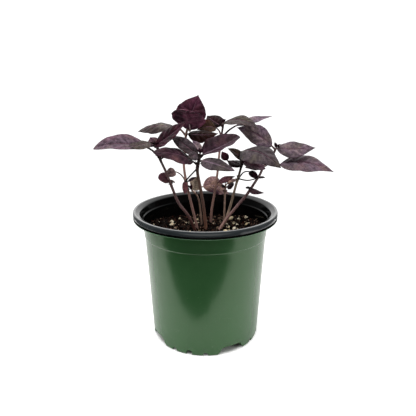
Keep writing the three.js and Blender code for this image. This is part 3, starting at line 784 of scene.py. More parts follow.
places = surface_places(rng, CRUMBS)
sizes = 0.35 + 1.2 * rng.uniform(0, 1, (CRUMBS, 1)) ** 2
sizes = sizes * rng.uniform(0.6, 1.3, (CRUMBS, 3))
barky = rng.uniform(0, 1, (CRUMBS, 1)) ** 6 * 1.9
lot = rng.uniform(0, 1, (CRUMBS, 1))
tints = PEAT + (BARK - PEAT) * barky
tints = tints + (RUST - PEAT) * 0.8 * (lot > 0.93) + (STRAW - PEAT) * (lot < 0.075)
crumbs = scattered(rng, places, sizes, tints)

places = surface_places(rng, SLIVERS)
sizes = np.stack([rng.uniform(1.5, 3.6, SLIVERS), rng.uniform(0.25, 0.6, SLIVERS),
                  rng.uniform(0.2, 0.4, SLIVERS)], -1)
tints = BARK + (RUST - BARK) * rng.uniform(0, 1, (SLIVERS, 1))
slivers = scattered(rng, places, sizes, tints, rough=0.15)
loose = new_piece("mix_crumbs", joined([crumbs, slivers]), [soil_matter], sharp=20)

# %% [markdown]
# ## Perlite
# Perlite is the first thing to catch the eye in a potting mix. The larger grains lie where the real
# ones do, with a radius each. Small ones are scattered evenly, and a few more near the larger ones,
# because watering washes them together.

# %% Perlite
LARGE_GRAINS = np.array([  # place and radius
    (-28, 18, 1.9), (-28, 12, 1.9), (-7, 32, 1.4), (-10, 16, 1.2), (-6, 19, 1.1), (-5, -4, 0.9),
    (-12, -7, 1.2), (2, -9, 1.1), (7, 31, 0.9), (10, 26, 0.8), (13, 21, 0.7), (-23, 33, 0.9),
    (-23, 22, 0.7), (-16, 16, 0.8), (-43, 8, 0.9), (17, 8, 1.7), (16, -7, 1.7), (19, 0, 1.2),
    (23, -2, 1.7), (26, 7, 1.4), (23, 26, 1.9), (29, 27, 1.4), (35, 26, 1.3), (35, 13, 1.2),
    (24, 10, 0.7), (25, 35, 0.7), (25, -4, 1)], float)
WASHED_TOGETHER = [(24, 4), (24, 15), (28, 26), (-14, 14)]

x, y, large_radii = LARGE_GRAINS.T
places = np.concatenate([np.column_stack([x, y, soil_height(x, y)]), surface_places(rng, 60),
                         surface_places(rng, 14, WASHED_TOGETHER)])
sizes = rng.uniform(0.38, 0.78, (len(places), 1)) * rng.uniform(0.7, 1.25, (len(places), 3))
large_sizes = 1.05 * large_radii[:, None] * rng.uniform(0.75, 1.15, (len(large_radii), 3))
sizes[:len(large_radii)] = large_sizes
tints = CREAM + (IVORY - CREAM) * rng.uniform(0, 1, (len(places), 1))
grains = scattered(rng, places, sizes, tints, subdivisions=2, rough=0.34, sink=0.25)
perlite = new_piece("mix_perlite", grains, [perlite_matter], sharp=80)

# %% [markdown]
# ## The basil's colours
# This basil is anything but one purple. Old leaves are grey mauve, young ones wine red, and green
# shows through where the light fell, which turns them olive or slate. Some paints also hold painted
# light: the greys, slates, mauves and lilacs on upper faces are partly a painted sheen, and tan,
# pink, rose, claret and the seed leaves' paints are lightened with painted light for leaves that
# stand in shade and for leaves lit through from behind. A stem is brown at its foot, pinkish in
# the middle and nearly black under the leaves. The colours have plain names here, as on a
# painter's shelf. A leaf that names two, such as "slate+mauve_slate", is clouded with both.

# %% Paints
# Painted light: a sheen in the greys, slates, mauves and lilacs, and the light on shaded and backlit
# leaves in tan, pink, rose, claret and the seed paints.
PAINT = {
    "mauve": (0.090, 0.050, 0.068), "mauve_grey": (0.102, 0.068, 0.091),
    "lilac": (0.103, 0.070, 0.094), "pale_lilac": (0.165, 0.112, 0.146),
    "rose": (0.215, 0.120, 0.122), "pink": (0.46, 0.27, 0.26), "rib_pink": (0.52, 0.38, 0.42),
    "wine": (0.042, 0.0115, 0.023), "deep_wine": (0.022, 0.005, 0.010),
    "claret": (0.140, 0.042, 0.074), "dusk": (0.010, 0.003, 0.004),
    "plum": (0.027, 0.011, 0.018), "pale_plum": (0.056, 0.023, 0.033),
    "grey": (0.084, 0.070, 0.068), "dark_grey": (0.039, 0.027, 0.028),
    "olive_grey": (0.054, 0.041, 0.038), "olive": (0.042, 0.021, 0.014),
    "dark_olive": (0.019, 0.011, 0.008), "umber": (0.032, 0.009, 0.007),
    "dark_umber": (0.009, 0.0025, 0.002), "slate": (0.031, 0.023, 0.026),
    "mauve_slate": (0.062, 0.046, 0.053), "tan": (0.68, 0.52, 0.40),
    "seed_tan": (0.21, 0.138, 0.135), "seed_brown": (0.15, 0.078, 0.072),
    "seed_wine": (0.090, 0.033, 0.045), "seed_rose": (0.15, 0.058, 0.070),
    "stem_foot": (0.085, 0.032, 0.026), "stem_mauve": (0.20, 0.115, 0.115),
    "stem_tan": (0.40, 0.27, 0.21), "stem_pink": (0.34, 0.195, 0.165),
    "stem_rust": (0.26, 0.125, 0.085), "stem_straw": (0.38, 0.29, 0.21),
    "stem_brown": (0.165, 0.095, 0.075), "stem_dark": (0.020, 0.009, 0.009),
    "stem_wine": (0.060, 0.026, 0.028),
}
print("paints:", len(PAINT))

# %% [markdown]
# ## How a basil plant is described
# A seedling has a stem, two blunt seed leaves low down, then pairs of true leaves, each pair
# crosswise to the one below. The cells below repeat the solids' figures, so that the fine plants
# stand exactly where the solid ones do. A plant is its stem's route from the foot up, the stem's
# radius and paint at the foot, in the middle (paint only) and at the tip, and its leaves. A leaf
# is the height where its stalk leaves the stem, the blade's base and tip, its width, how far it
# arches (bow) and bends aside (sway), how it is turned about its own line (roll), how its halves
# fold, how far its tip is drawn out (taper, below zero where it is rounded), and its paints.

# %% Leaf and plant figures
TAPER = 0.25  # of most leaves
PLANTS = {}


def leaf(start, base, tip, wide, bow, roll, fold, upper, lower="wine", sway=0.0, taper=TAPER,
         blunt=False, rib=None):
    """The figures of one leaf. upper and lower name the paints of its faces, and rib that of its
    midrib where it stands out; blunt marks a seed leaf."""
    return dict(start=start, base=np.array(base, float), tip=np.array(tip, float), wide=wide,
                bow=bow, roll=roll, fold=fold, upper=upper, lower=lower, sway=sway, taper=taper,
                blunt=blunt, rib=rib)


def plant(stem, radii, paint, *leaves):
    """The figures of one plant."""
    return dict(stem=stem, radii=radii, paint=paint, leaves=leaves)


def leaf_count(*names):
    """How many leaves those plants have together."""
    return sum(len(PLANTS[name]["leaves"]) for name in names)


# %% [markdown]
# ## The plants at the left
# The left plant bows out towards the rim, and its longest leaf reaches past it. The tall one
# carries the highest leaves of all. The sprout is a pale young seedling that stands beside it.

# %% Plants at the left
PLANTS["plant_left"] = plant(
    [(-5.5, -4.5, 72), (-7.5, -4, 86), (-13, -4, 100), (-20.8, -6, 112), (-25.5, -8, 125),
     (-29.6, -9, 137), (-34, -10, 148), (-35.5, -10, 157)],
    (1.25, 0.8), ("stem_foot", "stem_mauve", "stem_dark"),
    leaf(148, (-43.5, -12, 156.5), (-82, -14, 155.5), 16, 0.24, -33, 13, "mauve+mauve_grey",
         sway=-0.14, taper=-0.15),
    leaf(147, (-30, -7, 149), (-19, 3, 148), 11, 0.12, 0, 4, "plum"),
    leaf(154, (-40.5, -12, 160), (-56.5, -27, 158), 13.5, 0.03, -17, -3, "dark_grey+olive_grey",
         sway=-0.04),
    leaf(156, (-37.5, -10.5, 157), (-13, -14, 176), 16, 0.04, 34, 7, "deep_wine", sway=0.1),
    leaf(156, (-37, -9, 157), (-41, -6, 163), 9, 0.1, -60, 10, "mauve"),
    leaf(127, (-27, -8, 131), (-35.5, -12, 133.5), 10, 0.03, -42, 3, "seed_wine", sway=0.07,
         blunt=True),
    leaf(127, (-27, -5, 129.5), (-23.5, -3, 128), 4.5, 0.06, 18, 1, "seed_brown", blunt=True))

PLANTS["plant_tall"] = plant(
    [(-4, 0, 72), (-6, 1, 86), (-9.5, 3, 101), (-14.8, 6, 124), (-17, 8, 139), (-16, 9, 151),
     (-15, 9.5, 163), (-13.5, 10, 169)],
    (1.1, 0.8), ("stem_pink", "stem_pink", "stem_brown"),
    leaf(162, (-25, 12, 169), (-54, 20, 164), 16, 0.15, -25, -15, "grey+dark_grey", sway=-0.1),
    leaf(162, (-13.5, 11, 163.5), (10, 8, 164), 13.5, 0.03, 39, -18, "dark_umber", sway=0.07),
    leaf(168, (-16, 14, 170), (-5.5, 21, 192.5), 24.5, 0.04, 40, 5, "wine+deep_wine", sway=0.05),
    leaf(168, (-11.5, 6, 167), (-15.5, -6, 183), 28.5, 0.26, -7, -2, "claret+wine", "claret+wine",
         sway=0.09, taper=0, rib="rib_pink"),
    leaf(126, (-23.5, 3, 135), (-30, 0, 133), 7.5, 0.19, -65, 11, "seed_tan", sway=0.06,
         blunt=True),
    leaf(127, (-16.5, 3, 127), (-16, 0, 118), 4.5, 0.03, -10, 12, "seed_rose", blunt=True))

PLANTS["plant_sprout"] = plant(
    [(-3, 7, 74), (-3, 8, 87), (-4, 8, 101), (-6.3, 6, 114), (-11, 4, 120)],
    (0.8, 0.55), ("stem_tan", "stem_tan", "stem_tan"),
    leaf(119, (-10, 3, 120.5), (-7, -1, 131.5), 12.5, 0.08, -83, 5, "tan", "tan", sway=0.04),
    leaf(116, (-2, 30, 116.5), (21, 44, 105.5), 19.5, 0.12, 43, 2, "rose+wine", "rose", sway=-0.1))
print("leaves of these plants:", leaf_count("plant_left", "plant_tall", "plant_sprout"))

# %% [markdown]
# ## The plants in the middle
# The front plant leans towards the camera and spreads its leaves to both sides. The one in the
# centre stands behind it, and beside that one stands a small seedling with a pink leaf.

# %% Plants in the middle
PLANTS["plant_front"] = plant(
    [(0, -2, 72), (0.5, -2, 86), (-1, -5, 105), (-3.5, -9, 123), (-6, -13, 140), (-5, -14, 146),
     (-4, -15, 152)],
    (1.3, 0.95), ("stem_rust", "stem_brown", "stem_dark"),
    leaf(143, (-9, -16, 146.5), (-37, -26, 155), 17.5, 0.12, -28, -6, "pale_plum+plum", sway=-0.03,
         taper=-0.25),
    leaf(143, (-3, -18, 147.5), (20.5, -33, 143), 12.5, 0.12, 30, -7, "slate+mauve_slate",
         sway=0.07, taper=0, rib="pale_lilac"),
    leaf(150, (-5.5, -14, 150.5), (-26, -6, 164), 10.5, 0.2, -42, 6, "dark_olive+mauve_slate",
         sway=-0.07),
    leaf(150, (-1.5, -15, 151.5), (25.5, -4, 163.5), 22.5, 0, 14, 20, "plum", sway=0.03,
         taper=-0.35, rib="pale_lilac"),
    leaf(151, (-5.5, -16.5, 152), (-13, -20, 149.5), 9, 0.14, -44, -4, "slate+mauve_slate",
         sway=-0.03),
    leaf(148, (-2, -9, 152.5), (-10, 3, 159.5), 6, 0, -65, 8, "pale_lilac", "pale_lilac"),
    leaf(141, (-13.5, -3, 128.5), (-7, -2, 132), 4, 0.03, 20, 4, "plum"))

PLANTS["plant_centre"] = plant(
    [(4, 14, 72), (4.5, 14, 87), (5.3, 15, 100), (8, 17, 116), (10, 19, 131), (11.5, 20, 147),
     (13, 21, 160), (14.5, 22, 170)],
    (1.15, 0.8), ("stem_pink", "stem_pink", "stem_wine"),
    leaf(158, (25.5, 25, 168.5), (54.5, 30, 175.5), 14, 0.01, 14, 2, "lilac", sway=-0.06),
    leaf(158, (8.5, 23, 167), (-6.5, 17, 166), 12, 0.11, -49, 11, "umber+olive", sway=0.05),
    leaf(168, (14, 20, 170.5), (41, 6, 167.5), 17.5, 0.15, 18, -1, "dark_grey+olive_grey",
         sway=-0.07),
    leaf(168, (13, 26, 168), (1.5, 34, 175.5), 17, 0.07, -27, -2, "dusk", sway=-0.07),
    leaf(118, (11, 20.5, 122.5), (24.5, 20, 127.5), 6.5, 0.16, 39, -6, "seed_wine", sway=0.09))

PLANTS["plant_back"] = plant(
    [(15, 15, 74), (15.5, 16, 88), (16, 17, 101), (16.5, 20, 115), (17, 22, 121)],
    (0.95, 0.65), ("stem_tan", "stem_tan", "stem_tan"),
    leaf(119, (18, 22, 120.5), (28, 24, 123.5), 6, 0.14, 19, 2, "pink", "pink"),
    leaf(117, (16.3, 21, 118.5), (13, 20, 120), 3, 0.06, -44, -8, "dusk"),
    leaf(113, (18, 18, 119), (23.5, 15, 122), 7.5, 0.05, 38, -12, "deep_wine", blunt=True))
print("leaves of these plants:", leaf_count("plant_front", "plant_centre", "plant_back"))

# %% [markdown]
# ## The plants at the right
# The inner one holds a large leaf towards the camera, which hides another behind it. The outer one
# bows out over the right side, and its longest leaf reaches furthest of all from the pot.

# %% Plants at the right
PLANTS["plant_right_inner"] = plant(
    [(13.5, 8, 73), (15, 9, 87), (20.5, 10, 105), (24.5, 9, 122), (27, 8, 132), (29, 6, 141),
     (30, 5, 145)],
    (1.05, 0.8), ("stem_tan", "stem_straw", "stem_dark"),
    leaf(140, (28, 1, 151), (55, -20, 142.5), 26, 0.22, 20, -12, "slate+mauve_slate", sway=0.06,
         taper=0.05),
    leaf(140, (28.5, 8, 138), (17.5, 14, 141.5), 14, 0.1, -10, -8, "dusk"),
    leaf(143, (29, 6.5, 143.5), (17.5, 8, 152.5), 10.5, 0.15, -25, 8, "dark_olive", sway=-0.07),
    leaf(144, (30, 8, 141.5), (47.5, 6, 136.5), 14, 0.1, 31, 17, "mauve+pale_plum", sway=0.12,
         taper=0),
    leaf(139, (17.5, 6, 143.5), (13, 9, 150), 6.5, 0.08, -43, -2, "deep_wine", sway=-0.04),
    leaf(128, (41.5, -2, 131), (46.5, -3, 131.5), 3.5, 0.1, 18, 2, "deep_wine"),
    leaf(126, (34.5, 3, 135), (40.5, -2, 131), 5.5, 0.1, 46, 1, "deep_wine", "deep_wine",
         blunt=True))

PLANTS["plant_right"] = plant(
    [(10, -6, 72), (10.3, -4, 86), (16, -1, 96), (26, 2, 108), (34, 5, 117), (38.8, 7, 124),
     (43.5, 9, 131), (47, 11, 138), (54, 12, 147), (56, 12, 152)],
    (1.25, 0.8), ("stem_pink", "stem_mauve", "stem_wine"),
    leaf(145, (58.5, 4, 140.5), (98, -6, 136.5), 24, 0.09, 22, -4, "mauve+mauve_grey", sway=-0.06),
    leaf(143, (46, 14, 136.5), (32, 13, 136), 11, 0.06, -24, 4, "umber"),
    leaf(151, (56.5, 10, 152), (85.5, 4, 153.5), 17.5, 0.05, 36, -6, "mauve_grey+mauve_slate",
         sway=0.07),
    leaf(151, (53, 13.5, 153.5), (25, 14, 168), 16, -0.05, -70, 0, "mauve_grey+lilac", sway=0.1),
    leaf(119, (35, 3, 121.7), (46, -4, 119.5), 7, 0.01, 18, -15, "pale_plum", sway=0.13),
    leaf(119, (36, 1, 122.5), (31.5, -1, 122.7), 3, 0.09, -27, -8, "dusk", blunt=True))
print("leaves of these plants:", leaf_count("plant_right_inner", "plant_right"))

# %% [markdown]
# ## A leaf blade: its line and outline
# A basil blade arches along its midrib, folds a little along it, waves at its shallowly toothed
# edge, and puffs up between its side veins. All of that is one height field over two parameters: t,
# the share of the way from stalk to tip, and s, the share of the way from the midrib to an edge,
# below zero on the one half. Sculpting could give one such leaf, and the formula gives them all.

# %% The blade's line and outline
def outline(t, leaf):
    """Half width as a share of the widest: a sine over the length, whose inner power moves the
    broadest place to two fifths, and whose outer one draws the tip out. A seed leaf is blunt."""
    t = np.clip(t, 0, 0.999)
    if leaf["blunt"]:
        return np.sin(math.pi * t ** 0.9) ** 0.5
    return np.sin(math.pi * t ** 0.76) ** (0.8 + leaf["taper"] * t)


def blade_frame(leaf):
    """The length from base to tip, the direction along it, the one across it, which is the level
    one turned by the roll, and the one out of the face, which is square to both."""
    chord = leaf["tip"] - leaf["base"]
    length = np.linalg.norm(chord)
    along = chord / length
    level = unit(np.cross(along, [0, 0, 1]))
    roll = math.radians(leaf["roll"])
    across = level * math.cos(roll) + np.cross(along, level) * math.sin(roll)
    return length, along, across, np.cross(across, along)


def midrib(leaf, t):
    """Points of the midrib: the straight line plus a parabola out of the face by the bow, and one
    sideways by the sway. With them come the directions of travel and out of the face."""
    length, along, across, out = blade_frame(leaf)
    t = np.asarray(t, float)[..., None]
    aside = out * leaf["bow"] + across * leaf["sway"]
    line = leaf["base"] + along * length * t + aside * 4 * length * t * (1 - t)
    travel = unit(along + aside * 4 * (1 - 2 * t))
    return line, travel, unit(np.cross(across, travel))


print("the tall plant's top leaf, mm:", round(blade_frame(PLANTS["plant_tall"]["leaves"][2])[0], 1))

# %% [markdown]
# ## A leaf blade: its relief
# Between two side veins the blade puffs up, and along the midrib it is drawn in. The side veins run
# forward as they near the edge, and the two halves' veins are staggered. The shader draws its veins
# by the same figures, so that dark veins lie in the hollows.

# %% The blade's relief
VEIN_PAIRS, VEIN_LEAN, LEAN_POWER, VEIN_STAGGER = 5.5, 0.2, 1.2, 0.23
CREASE, HOLLOW_WIDTH = 0.5, 0.7  # mm
EDGE_WAVE, PUFF, HOLLOW_DEPTH = 0.04, 0.3, 0.10  # shares of the half width


def relief(leaf, number, t, s, half, sideways, beat):
    """How far the blade stands off its flat form: two slopes that meet in a round crease, a wave
    that grows with s squared, a cushion between each two side veins, and less a hollow along the
    midrib, which falls off with the distance. The number shifts the wave from leaf to leaf."""
    slopes = np.sqrt(sideways ** 2 + CREASE ** 2) - CREASE
    lift = math.tan(math.radians(leaf["fold"])) * slopes
    lift = lift + EDGE_WAVE * half * s * s * np.sin(1.6 * beat + 1.7 * number + 2 * s)
    phase = VEIN_PAIRS * (t - VEIN_LEAN * np.abs(s) ** LEAN_POWER) + VEIN_STAGGER * np.sign(s)
    cushion = (0.5 - 0.5 * np.cos(2 * math.pi * phase)) * np.abs(s) * (1 - np.abs(s))
    if not leaf["blunt"]:
        lift = lift + PUFF * half * cushion
    hollow = np.exp(-np.abs(sideways) / HOLLOW_WIDTH) * np.sin(math.pi * t)
    return lift - HOLLOW_DEPTH * half * hollow


print("puff and hollow of a blade 20 mm wide, mm:", round(PUFF / 4 * 10, 2), HOLLOW_DEPTH * 10)

# %% [markdown]
# ## A leaf blade: its paint
# A leaf is never of one colour: broad clouds of a lighter and a darker one run over it. The clouds
# are lumps of two sizes in the blade's own millimetres, kept as a colour for each point, because
# each leaf has paints of its own and all leaves share one material.

# %% The blade's paint
def cloud_on(leaf, along, sideways):
    """A share from 0 to 1 at each place: half, plus lumps of 8 mm and weaker ones of 3 mm. The
    leaf's base decides which lumps it gets."""
    seed = 40 + int(abs(leaf["base"][0]) * 7) % 97
    lumps = value_lumps(along, sideways, 8, seed) + 0.4 * value_lumps(along, sideways, 3, seed + 1)
    return np.clip(0.5 + 0.95 * lumps, 0, 1)[..., None]


def painted(names, cloud):
    """The first paint, which turns into the second as the cloud goes from 0 to 1. Where only one is
    named, the cloud takes it from about half lighter to half darker."""
    paints = [np.array(PAINT[name]) for name in names.split("+")]
    lighter, darker = (1.12, 0.86) if len(paints) == 2 else (1.45, 0.55)
    first, second = paints[0] * lighter, paints[-1] * darker
    return first + (second - first) * cloud


def upper_paint(leaf, cloud, t, sideways):
    """The upper face's clouded paint, and on it the midrib's own where it has one: a bell over the
    distance from the midrib, which fades towards the tip."""
    tint = painted(leaf["upper"], cloud)
    if leaf["rib"]:
        near_rib = 0.8 * np.exp(-(sideways / 0.55) ** 2) * np.clip(1.3 - t, 0, 1)
        tint = tint + (PAINT[leaf["rib"]] - tint) * near_rib[..., None]
    return tint


# %% [markdown]
# ## A leaf blade: its skin
# The blade gets a real thickness, or it would vanish edge on and throw no true shadow. Each ring
# runs over the upper face and back under the lower one, so the skin function closes it as it closes
# a stem. The two parameters are kept as a UV map, where the material finds its veins again.

# %% The blade's skin
BLADE_THICKNESS, TOOTH, ZIGZAG = 0.42, 0.012, 0.014  # mm, and two shares of the half width


def there_and_back(upper, lower):
    """What is on the upper face and then, backwards, what is on the lower one."""
    return np.concatenate([upper, lower[:, ::-1]], axis=1)


def blade(leaf, number):
    """The skin of one blade: its middle is the midrib's line, plus s times the half width across,
    plus the relief out of the face. A cosine and a finer zigzag over t tooth its edge, and it thins
    towards the edge with the fourth power of s."""
    length, _, across, _ = blade_frame(leaf)
    rows, half_columns, beats = (54, 13, 10) if length > 20 else (26, 8, 6)
    t = np.linspace(0, 1, rows + 1)[:, None]
    s = np.linspace(-1, 1, 2 * half_columns + 1)[None, :]
    line, _, face = midrib(leaf, t[:, 0])
    half = leaf["wide"] / 2 * np.maximum(outline(t, leaf), 0.03)
    beat = beats * t
    teeth = -TOOTH * np.cos(math.pi * beat) + ZIGZAG * np.abs((beat * 2.3) % 2 - 1)
    sideways = s * half * (1 + teeth * np.abs(s) ** 3)
    lift = relief(leaf, number, t, s, half, sideways, beat)
    middle = line[:, None] + across * sideways[..., None] + face[:, None] * lift[..., None]
    off = face[:, None] * (BLADE_THICKNESS / 2 * (1 - 0.6 * s ** 4))[..., None]
    place = np.stack(np.broadcast_arrays((s + 1) / 2, t), -1)
    cloud = cloud_on(leaf, t * length, sideways)
    return skin(there_and_back(middle + off, middle - off), uv=there_and_back(place, place),
                side=there_and_back(np.ones(sideways.shape), np.zeros(sideways.shape)),
                tint=there_and_back(upper_paint(leaf, cloud, t, sideways),
                                    painted(leaf["lower"], cloud)))


print("points of a large blade:", len(blade(PLANTS["plant_tall"]["leaves"][2], 2)["points"]))

# %% [markdown]
# ## Stems
# A basil stem is squarish, swells where leaves sit, and is browner near the ground. Its paints run
# into each other above the mix and again below the tip.

# %% Stems
SWELLING, SWELLING_REACH = 0.14, 1.8  # a share of the radius, and mm up and down the stem
FOOT_PAINT_TOP, FOOT_BLEND = 94, 16  # height and length of the change to the middle's paint
TIP_PAINT_START, TIP_BLEND = 22, 14  # how far below the tip its paint begins, and over what length


def stem_tube(plant):
    """A tube along the stem's route, from its radius at the foot to that at the tip, swollen by a
    seventh at each leaf pair, with the foot's, the middle's and the tip's paint."""
    line, travel = smooth_line(plant["stem"], 8)
    height = line[:, 2]
    foot, tip = plant["radii"]
    radii = foot + (tip - foot) * np.linspace(0, 1, len(line))
    for start in {leaf["start"] for leaf in plant["leaves"]}:
        radii = radii * (1 + SWELLING * np.exp(-((height - start) / SWELLING_REACH) ** 2))
    low, middle, high = (np.array(PAINT[name]) for name in plant["paint"])
    above_mix = np.clip((height - FOOT_PAINT_TOP) / FOOT_BLEND, 0, 1)[:, None]
    near_tip = np.clip((height - height[-1] + TIP_PAINT_START) / TIP_BLEND, 0, 1)[:, None]
    tint = low + (middle - low) * above_mix
    return tube(line, travel, radii, tint + (high - tint) * near_tip, 16, square=0.07)


print("faces round the tall plant's stem:", len(stem_tube(PLANTS["plant_tall"])["quads"]))

# %% [markdown]
# ## Leaf stalks
# A stalk leaves the stem at an angle, runs into the blade, and goes on under it as the raised
# midrib, thinning to the tip. So stalk and midrib are one tube, which changes from the stem's paint
# to a pale tone of the blade's underside.

# %% Leaf stalks
RIB_STOPS = np.array([0, 0.04, 0.2, 0.4, 0.6, 0.8, 0.93])  # shares of the way along the blade
RIB_SHARES = np.array([0.7, 0.62, 0.42, 0.32, 0.24, 0.17, 0.1])  # of the stalk's radius there
SPAN_STEPS = 6  # points on the tube for each span between two knots


def stalk_tube(leaf, stem_line, stem_paint):
    """A tube from the stem to the blade, and on below the blade's midrib by a share of its own
    radius. From the stem to the blade it passes the middle of a parabola that runs into the blade
    along its midrib."""
    reached = stem_line[:, 2] >= leaf["start"]
    root = stem_line[np.argmax(reached) if reached[-1] else -1]
    line, travel, face = midrib(leaf, RIB_STOPS)
    bend = line[0] - travel[0] * 0.5 * np.linalg.norm(line[0] - root)
    thick = min(0.9, 0.5 + blade_frame(leaf)[0] / 80)
    rib = thick * RIB_SHARES
    below = line - face * (0.12 + rib * 0.45)[:, None]
    below[0] = line[0]
    knots = np.concatenate([[root, (root + 2 * bend + line[0]) / 4], below])
    path, along = smooth_line(knots, SPAN_STEPS)
    span = np.arange(len(path)) / SPAN_STEPS
    radii = np.interp(span, np.arange(len(knots)), np.concatenate([[thick, thick * 0.86], rib]))
    under = np.array(PAINT[leaf["lower"].split("+")[0]])
    vein = np.array(PAINT[leaf["rib"]]) if leaf["rib"] else under * 2 + 0.03
    share = np.clip((span - 2) / 2, 0, 1)[:, None]
    tint = np.array(PAINT[stem_paint]) * (1 - share) + vein * share
    return tube(path, along, radii, tint, 10)


print("places along a blade where its midrib's thickness is given:", len(RIB_STOPS))

# %% [markdown]
# ## Young tips
# Where a stem ends, and in the corners of the leaf pairs, tiny new leaves push out. They are the
# same blades at a few millimetres' size, in crosswise pairs round the stem's own direction.

# %% Young leaves
def young_leaves(plant, rng):
    """Two crosswise pairs at the stem's end, and one small pair in each leaf pair's corners. A new
    leaf points outwards and up, by shares drawn at random."""
    line, travel = smooth_line(plant["stem"], 8)
    end, up = line[-1], travel[-1]
    spots = [(end, up, 5.5, 0.3), (end + up * 0.6, up, 3.6, 1.87)]  # place, way up, size, turn
    for start in sorted({old["start"] for old in plant["leaves"]}):
        near = int(np.argmin(np.abs(line[:, 2] - start)))
        if near < len(line) - 4:
            spots.append((line[near], travel[near], 3.0, rng.uniform(0, math.pi)))
    leaves = []
    for root, up, length, turn in spots:
        first = unit(np.cross(up, [math.cos(turn), math.sin(turn), 0.2]))
        for way in (first, -first):
            size = length * rng.uniform(0.8, 1.15)
            base = root + way * 0.5 + up * 0.3
            tip = base + unit(way * 0.8 + up * rng.uniform(0.6, 1.2)) * size
            roll = rng.uniform(-15, 15)
            leaves.append(leaf(root[2], base, tip, size * 0.5, 0.12, roll, 18, "plum", "wine"))
    return leaves


print("young leaves on the left plant:",
      len(young_leaves(PLANTS["plant_left"], np.random.default_rng(0))))

# %% [markdown]
# ## Leaf veins
# A leaf's veins are one effect with three masks: the midrib with the side veins, the fine net
# between them, and the blade's edge. The side veins follow the same figures as the relief. The net
# is a Voronoi pattern on the blade's UV map, because a net in space would cut straight across.

# %% Vein masks
def vein_masks(tree):
    """Vein is 1 where the distance to the nearest side vein, or to the midrib, is small; side veins
    fade towards the edge. Net is 1 along the borders of the cells, and Edge rises at the edge."""
    uv = add_node(tree, "ShaderNodeUVMap", uv_map="UVMap").outputs[0]
    place = add_node(tree, "ShaderNodeSeparateXYZ", {0: uv}).outputs
    s = calculate(tree, "MULTIPLY_ADD", place[0], 2.0, -1.0)
    off_rib = calculate(tree, "ABSOLUTE", s)
    forward = times(tree, calculate(tree, "POWER", off_rib, LEAN_POWER), VEIN_LEAN)
    phase = times(tree, calculate(tree, "SUBTRACT", place[1], forward), VEIN_PAIRS)
    phase = calculate(tree, "MULTIPLY_ADD", calculate(tree, "SIGN", s), VEIN_STAGGER, phase)
    off_vein = calculate(tree, "SUBTRACT", phase, calculate(tree, "ROUND", phase))
    off_vein = calculate(tree, "ABSOLUTE", off_vein)
    side_vein = times(tree, stepped(tree, off_vein, 0.02, 0.1, 1.0, 0.0),
                      stepped(tree, off_rib, 0.45, 0.9, 1.0, 0.0))
    middle_vein = stepped(tree, off_rib, 0.02, 0.09, 1.0, 0.0)
    cells = add_node(tree, "ShaderNodeTexVoronoi", {
        "Vector": stretched_place(tree, uv, (9, 20, 1)), "Scale": 1.0},
        feature="DISTANCE_TO_EDGE", voronoi_dimensions="2D").outputs["Distance"]
    return {"Vein": calculate(tree, "MAXIMUM", side_vein, middle_vein),
            "Net": stepped(tree, cells, 0.0, 0.16, 1.0, 0.0),
            "Edge": stepped(tree, off_rib, 0.86, 1.0)}


leaf_veins = effect("leaf_veins", vein_masks)

# %% [markdown]
# ## The leaf's finish
# Both faces share one shader. It starts from the blade's own clouded paint. On the upper face olive
# patches show where green comes through the purple. A mottle and a finer grain make it darker and
# lighter. Veins are dark above and pale below, and the edge is a thin wine line. The blade hardly
# shines. Its finest relief, the sunken veins, the net and a grain, is left to bump.

# %% The leaf's material
GREEN_THROUGH, VEIN_SHADE = (0.96, 1.12, 0.62, 1), (0.62, 0.5, 0.56, 1)  # both multiply the paint
VEIN_PALE, EDGE_WINE = (0.75, 0.55, 0.62, 1), (0.030, 0.008, 0.015, 1)

# The blade's gloss is low; much of the leaves' sheen is painted into their paints.
blade_matter, tree, shader = new_material("basil_leaf", roughness=0.42, specular_ior_level=0.13)
mask = add_node(tree, "ShaderNodeGroup", node_tree=leaf_veins).outputs
tint, above = stored(tree, "tint"), stored(tree, "side", "Fac")
patches = times(tree, stepped(tree, noise(tree, 95, 4, 0.6), 0.46, 0.64), above)
olive = multiplied(tree, tint, GREEN_THROUGH)
ground = blend_colours(tree, times(tree, patches, 0.5), tint, olive)
mottle = times(tree, stepped(tree, noise(tree, 380, 4, 0.65), 0.32, 0.72, 0.60, 1.52),
               stepped(tree, noise(tree, 1100, 2, 0.6), 0.25, 0.75, 0.78, 1.22))
ground = multiplied(tree, ground, grey(tree, mottle))
vein_tone = blend_colours(tree, above, blend_colours(tree, 0.10, ground, VEIN_PALE),
                          multiplied(tree, ground, VEIN_SHADE))
for label, share, colour in (("Vein", 0.45, vein_tone), ("Net", 0.12, vein_tone),
                             ("Edge", 0.25, EDGE_WINE)):
    ground = blend_colours(tree, times(tree, mask[label], share), ground, colour)
tree.links.new(ground, shader.inputs["Base Color"])
height = calculate(tree, "MULTIPLY_ADD", mask["Vein"], -0.45, 1.0)
height = calculate(tree, "MULTIPLY_ADD", mask["Net"], -0.25, height)
height = calculate(tree, "MULTIPLY_ADD", noise(tree, 900, 3, 0.6), 0.25, height)
link_bump(tree, shader, height, 0.0005, 0.55)
print("leaf finish:", len(tree.nodes), "nodes")

# %% [markdown]
# ## The stem's finish
# A stem is smooth and a little glossier than a leaf, with fine streaks along it. The streaks are a
# noise stretched along the height.

# %% The stem's material
stem_matter, tree, shader = new_material("basil_stem", roughness=0.5, specular_ior_level=0.4)
streak_place = stretched_place(tree, object_place(tree), (1, 1, 0.12))
streak = stepped(tree, noise(tree, 1400, 3, 0.6, streak_place), 0.3, 0.75, 0.7, 1.3)
streaked = multiplied(tree, stored(tree, "tint"), grey(tree, streak))
tree.links.new(streaked, shader.inputs["Base Color"])
link_bump(tree, shader, streak, 0.0002, 0.6)
print("stem finish:", len(tree.nodes), "nodes")

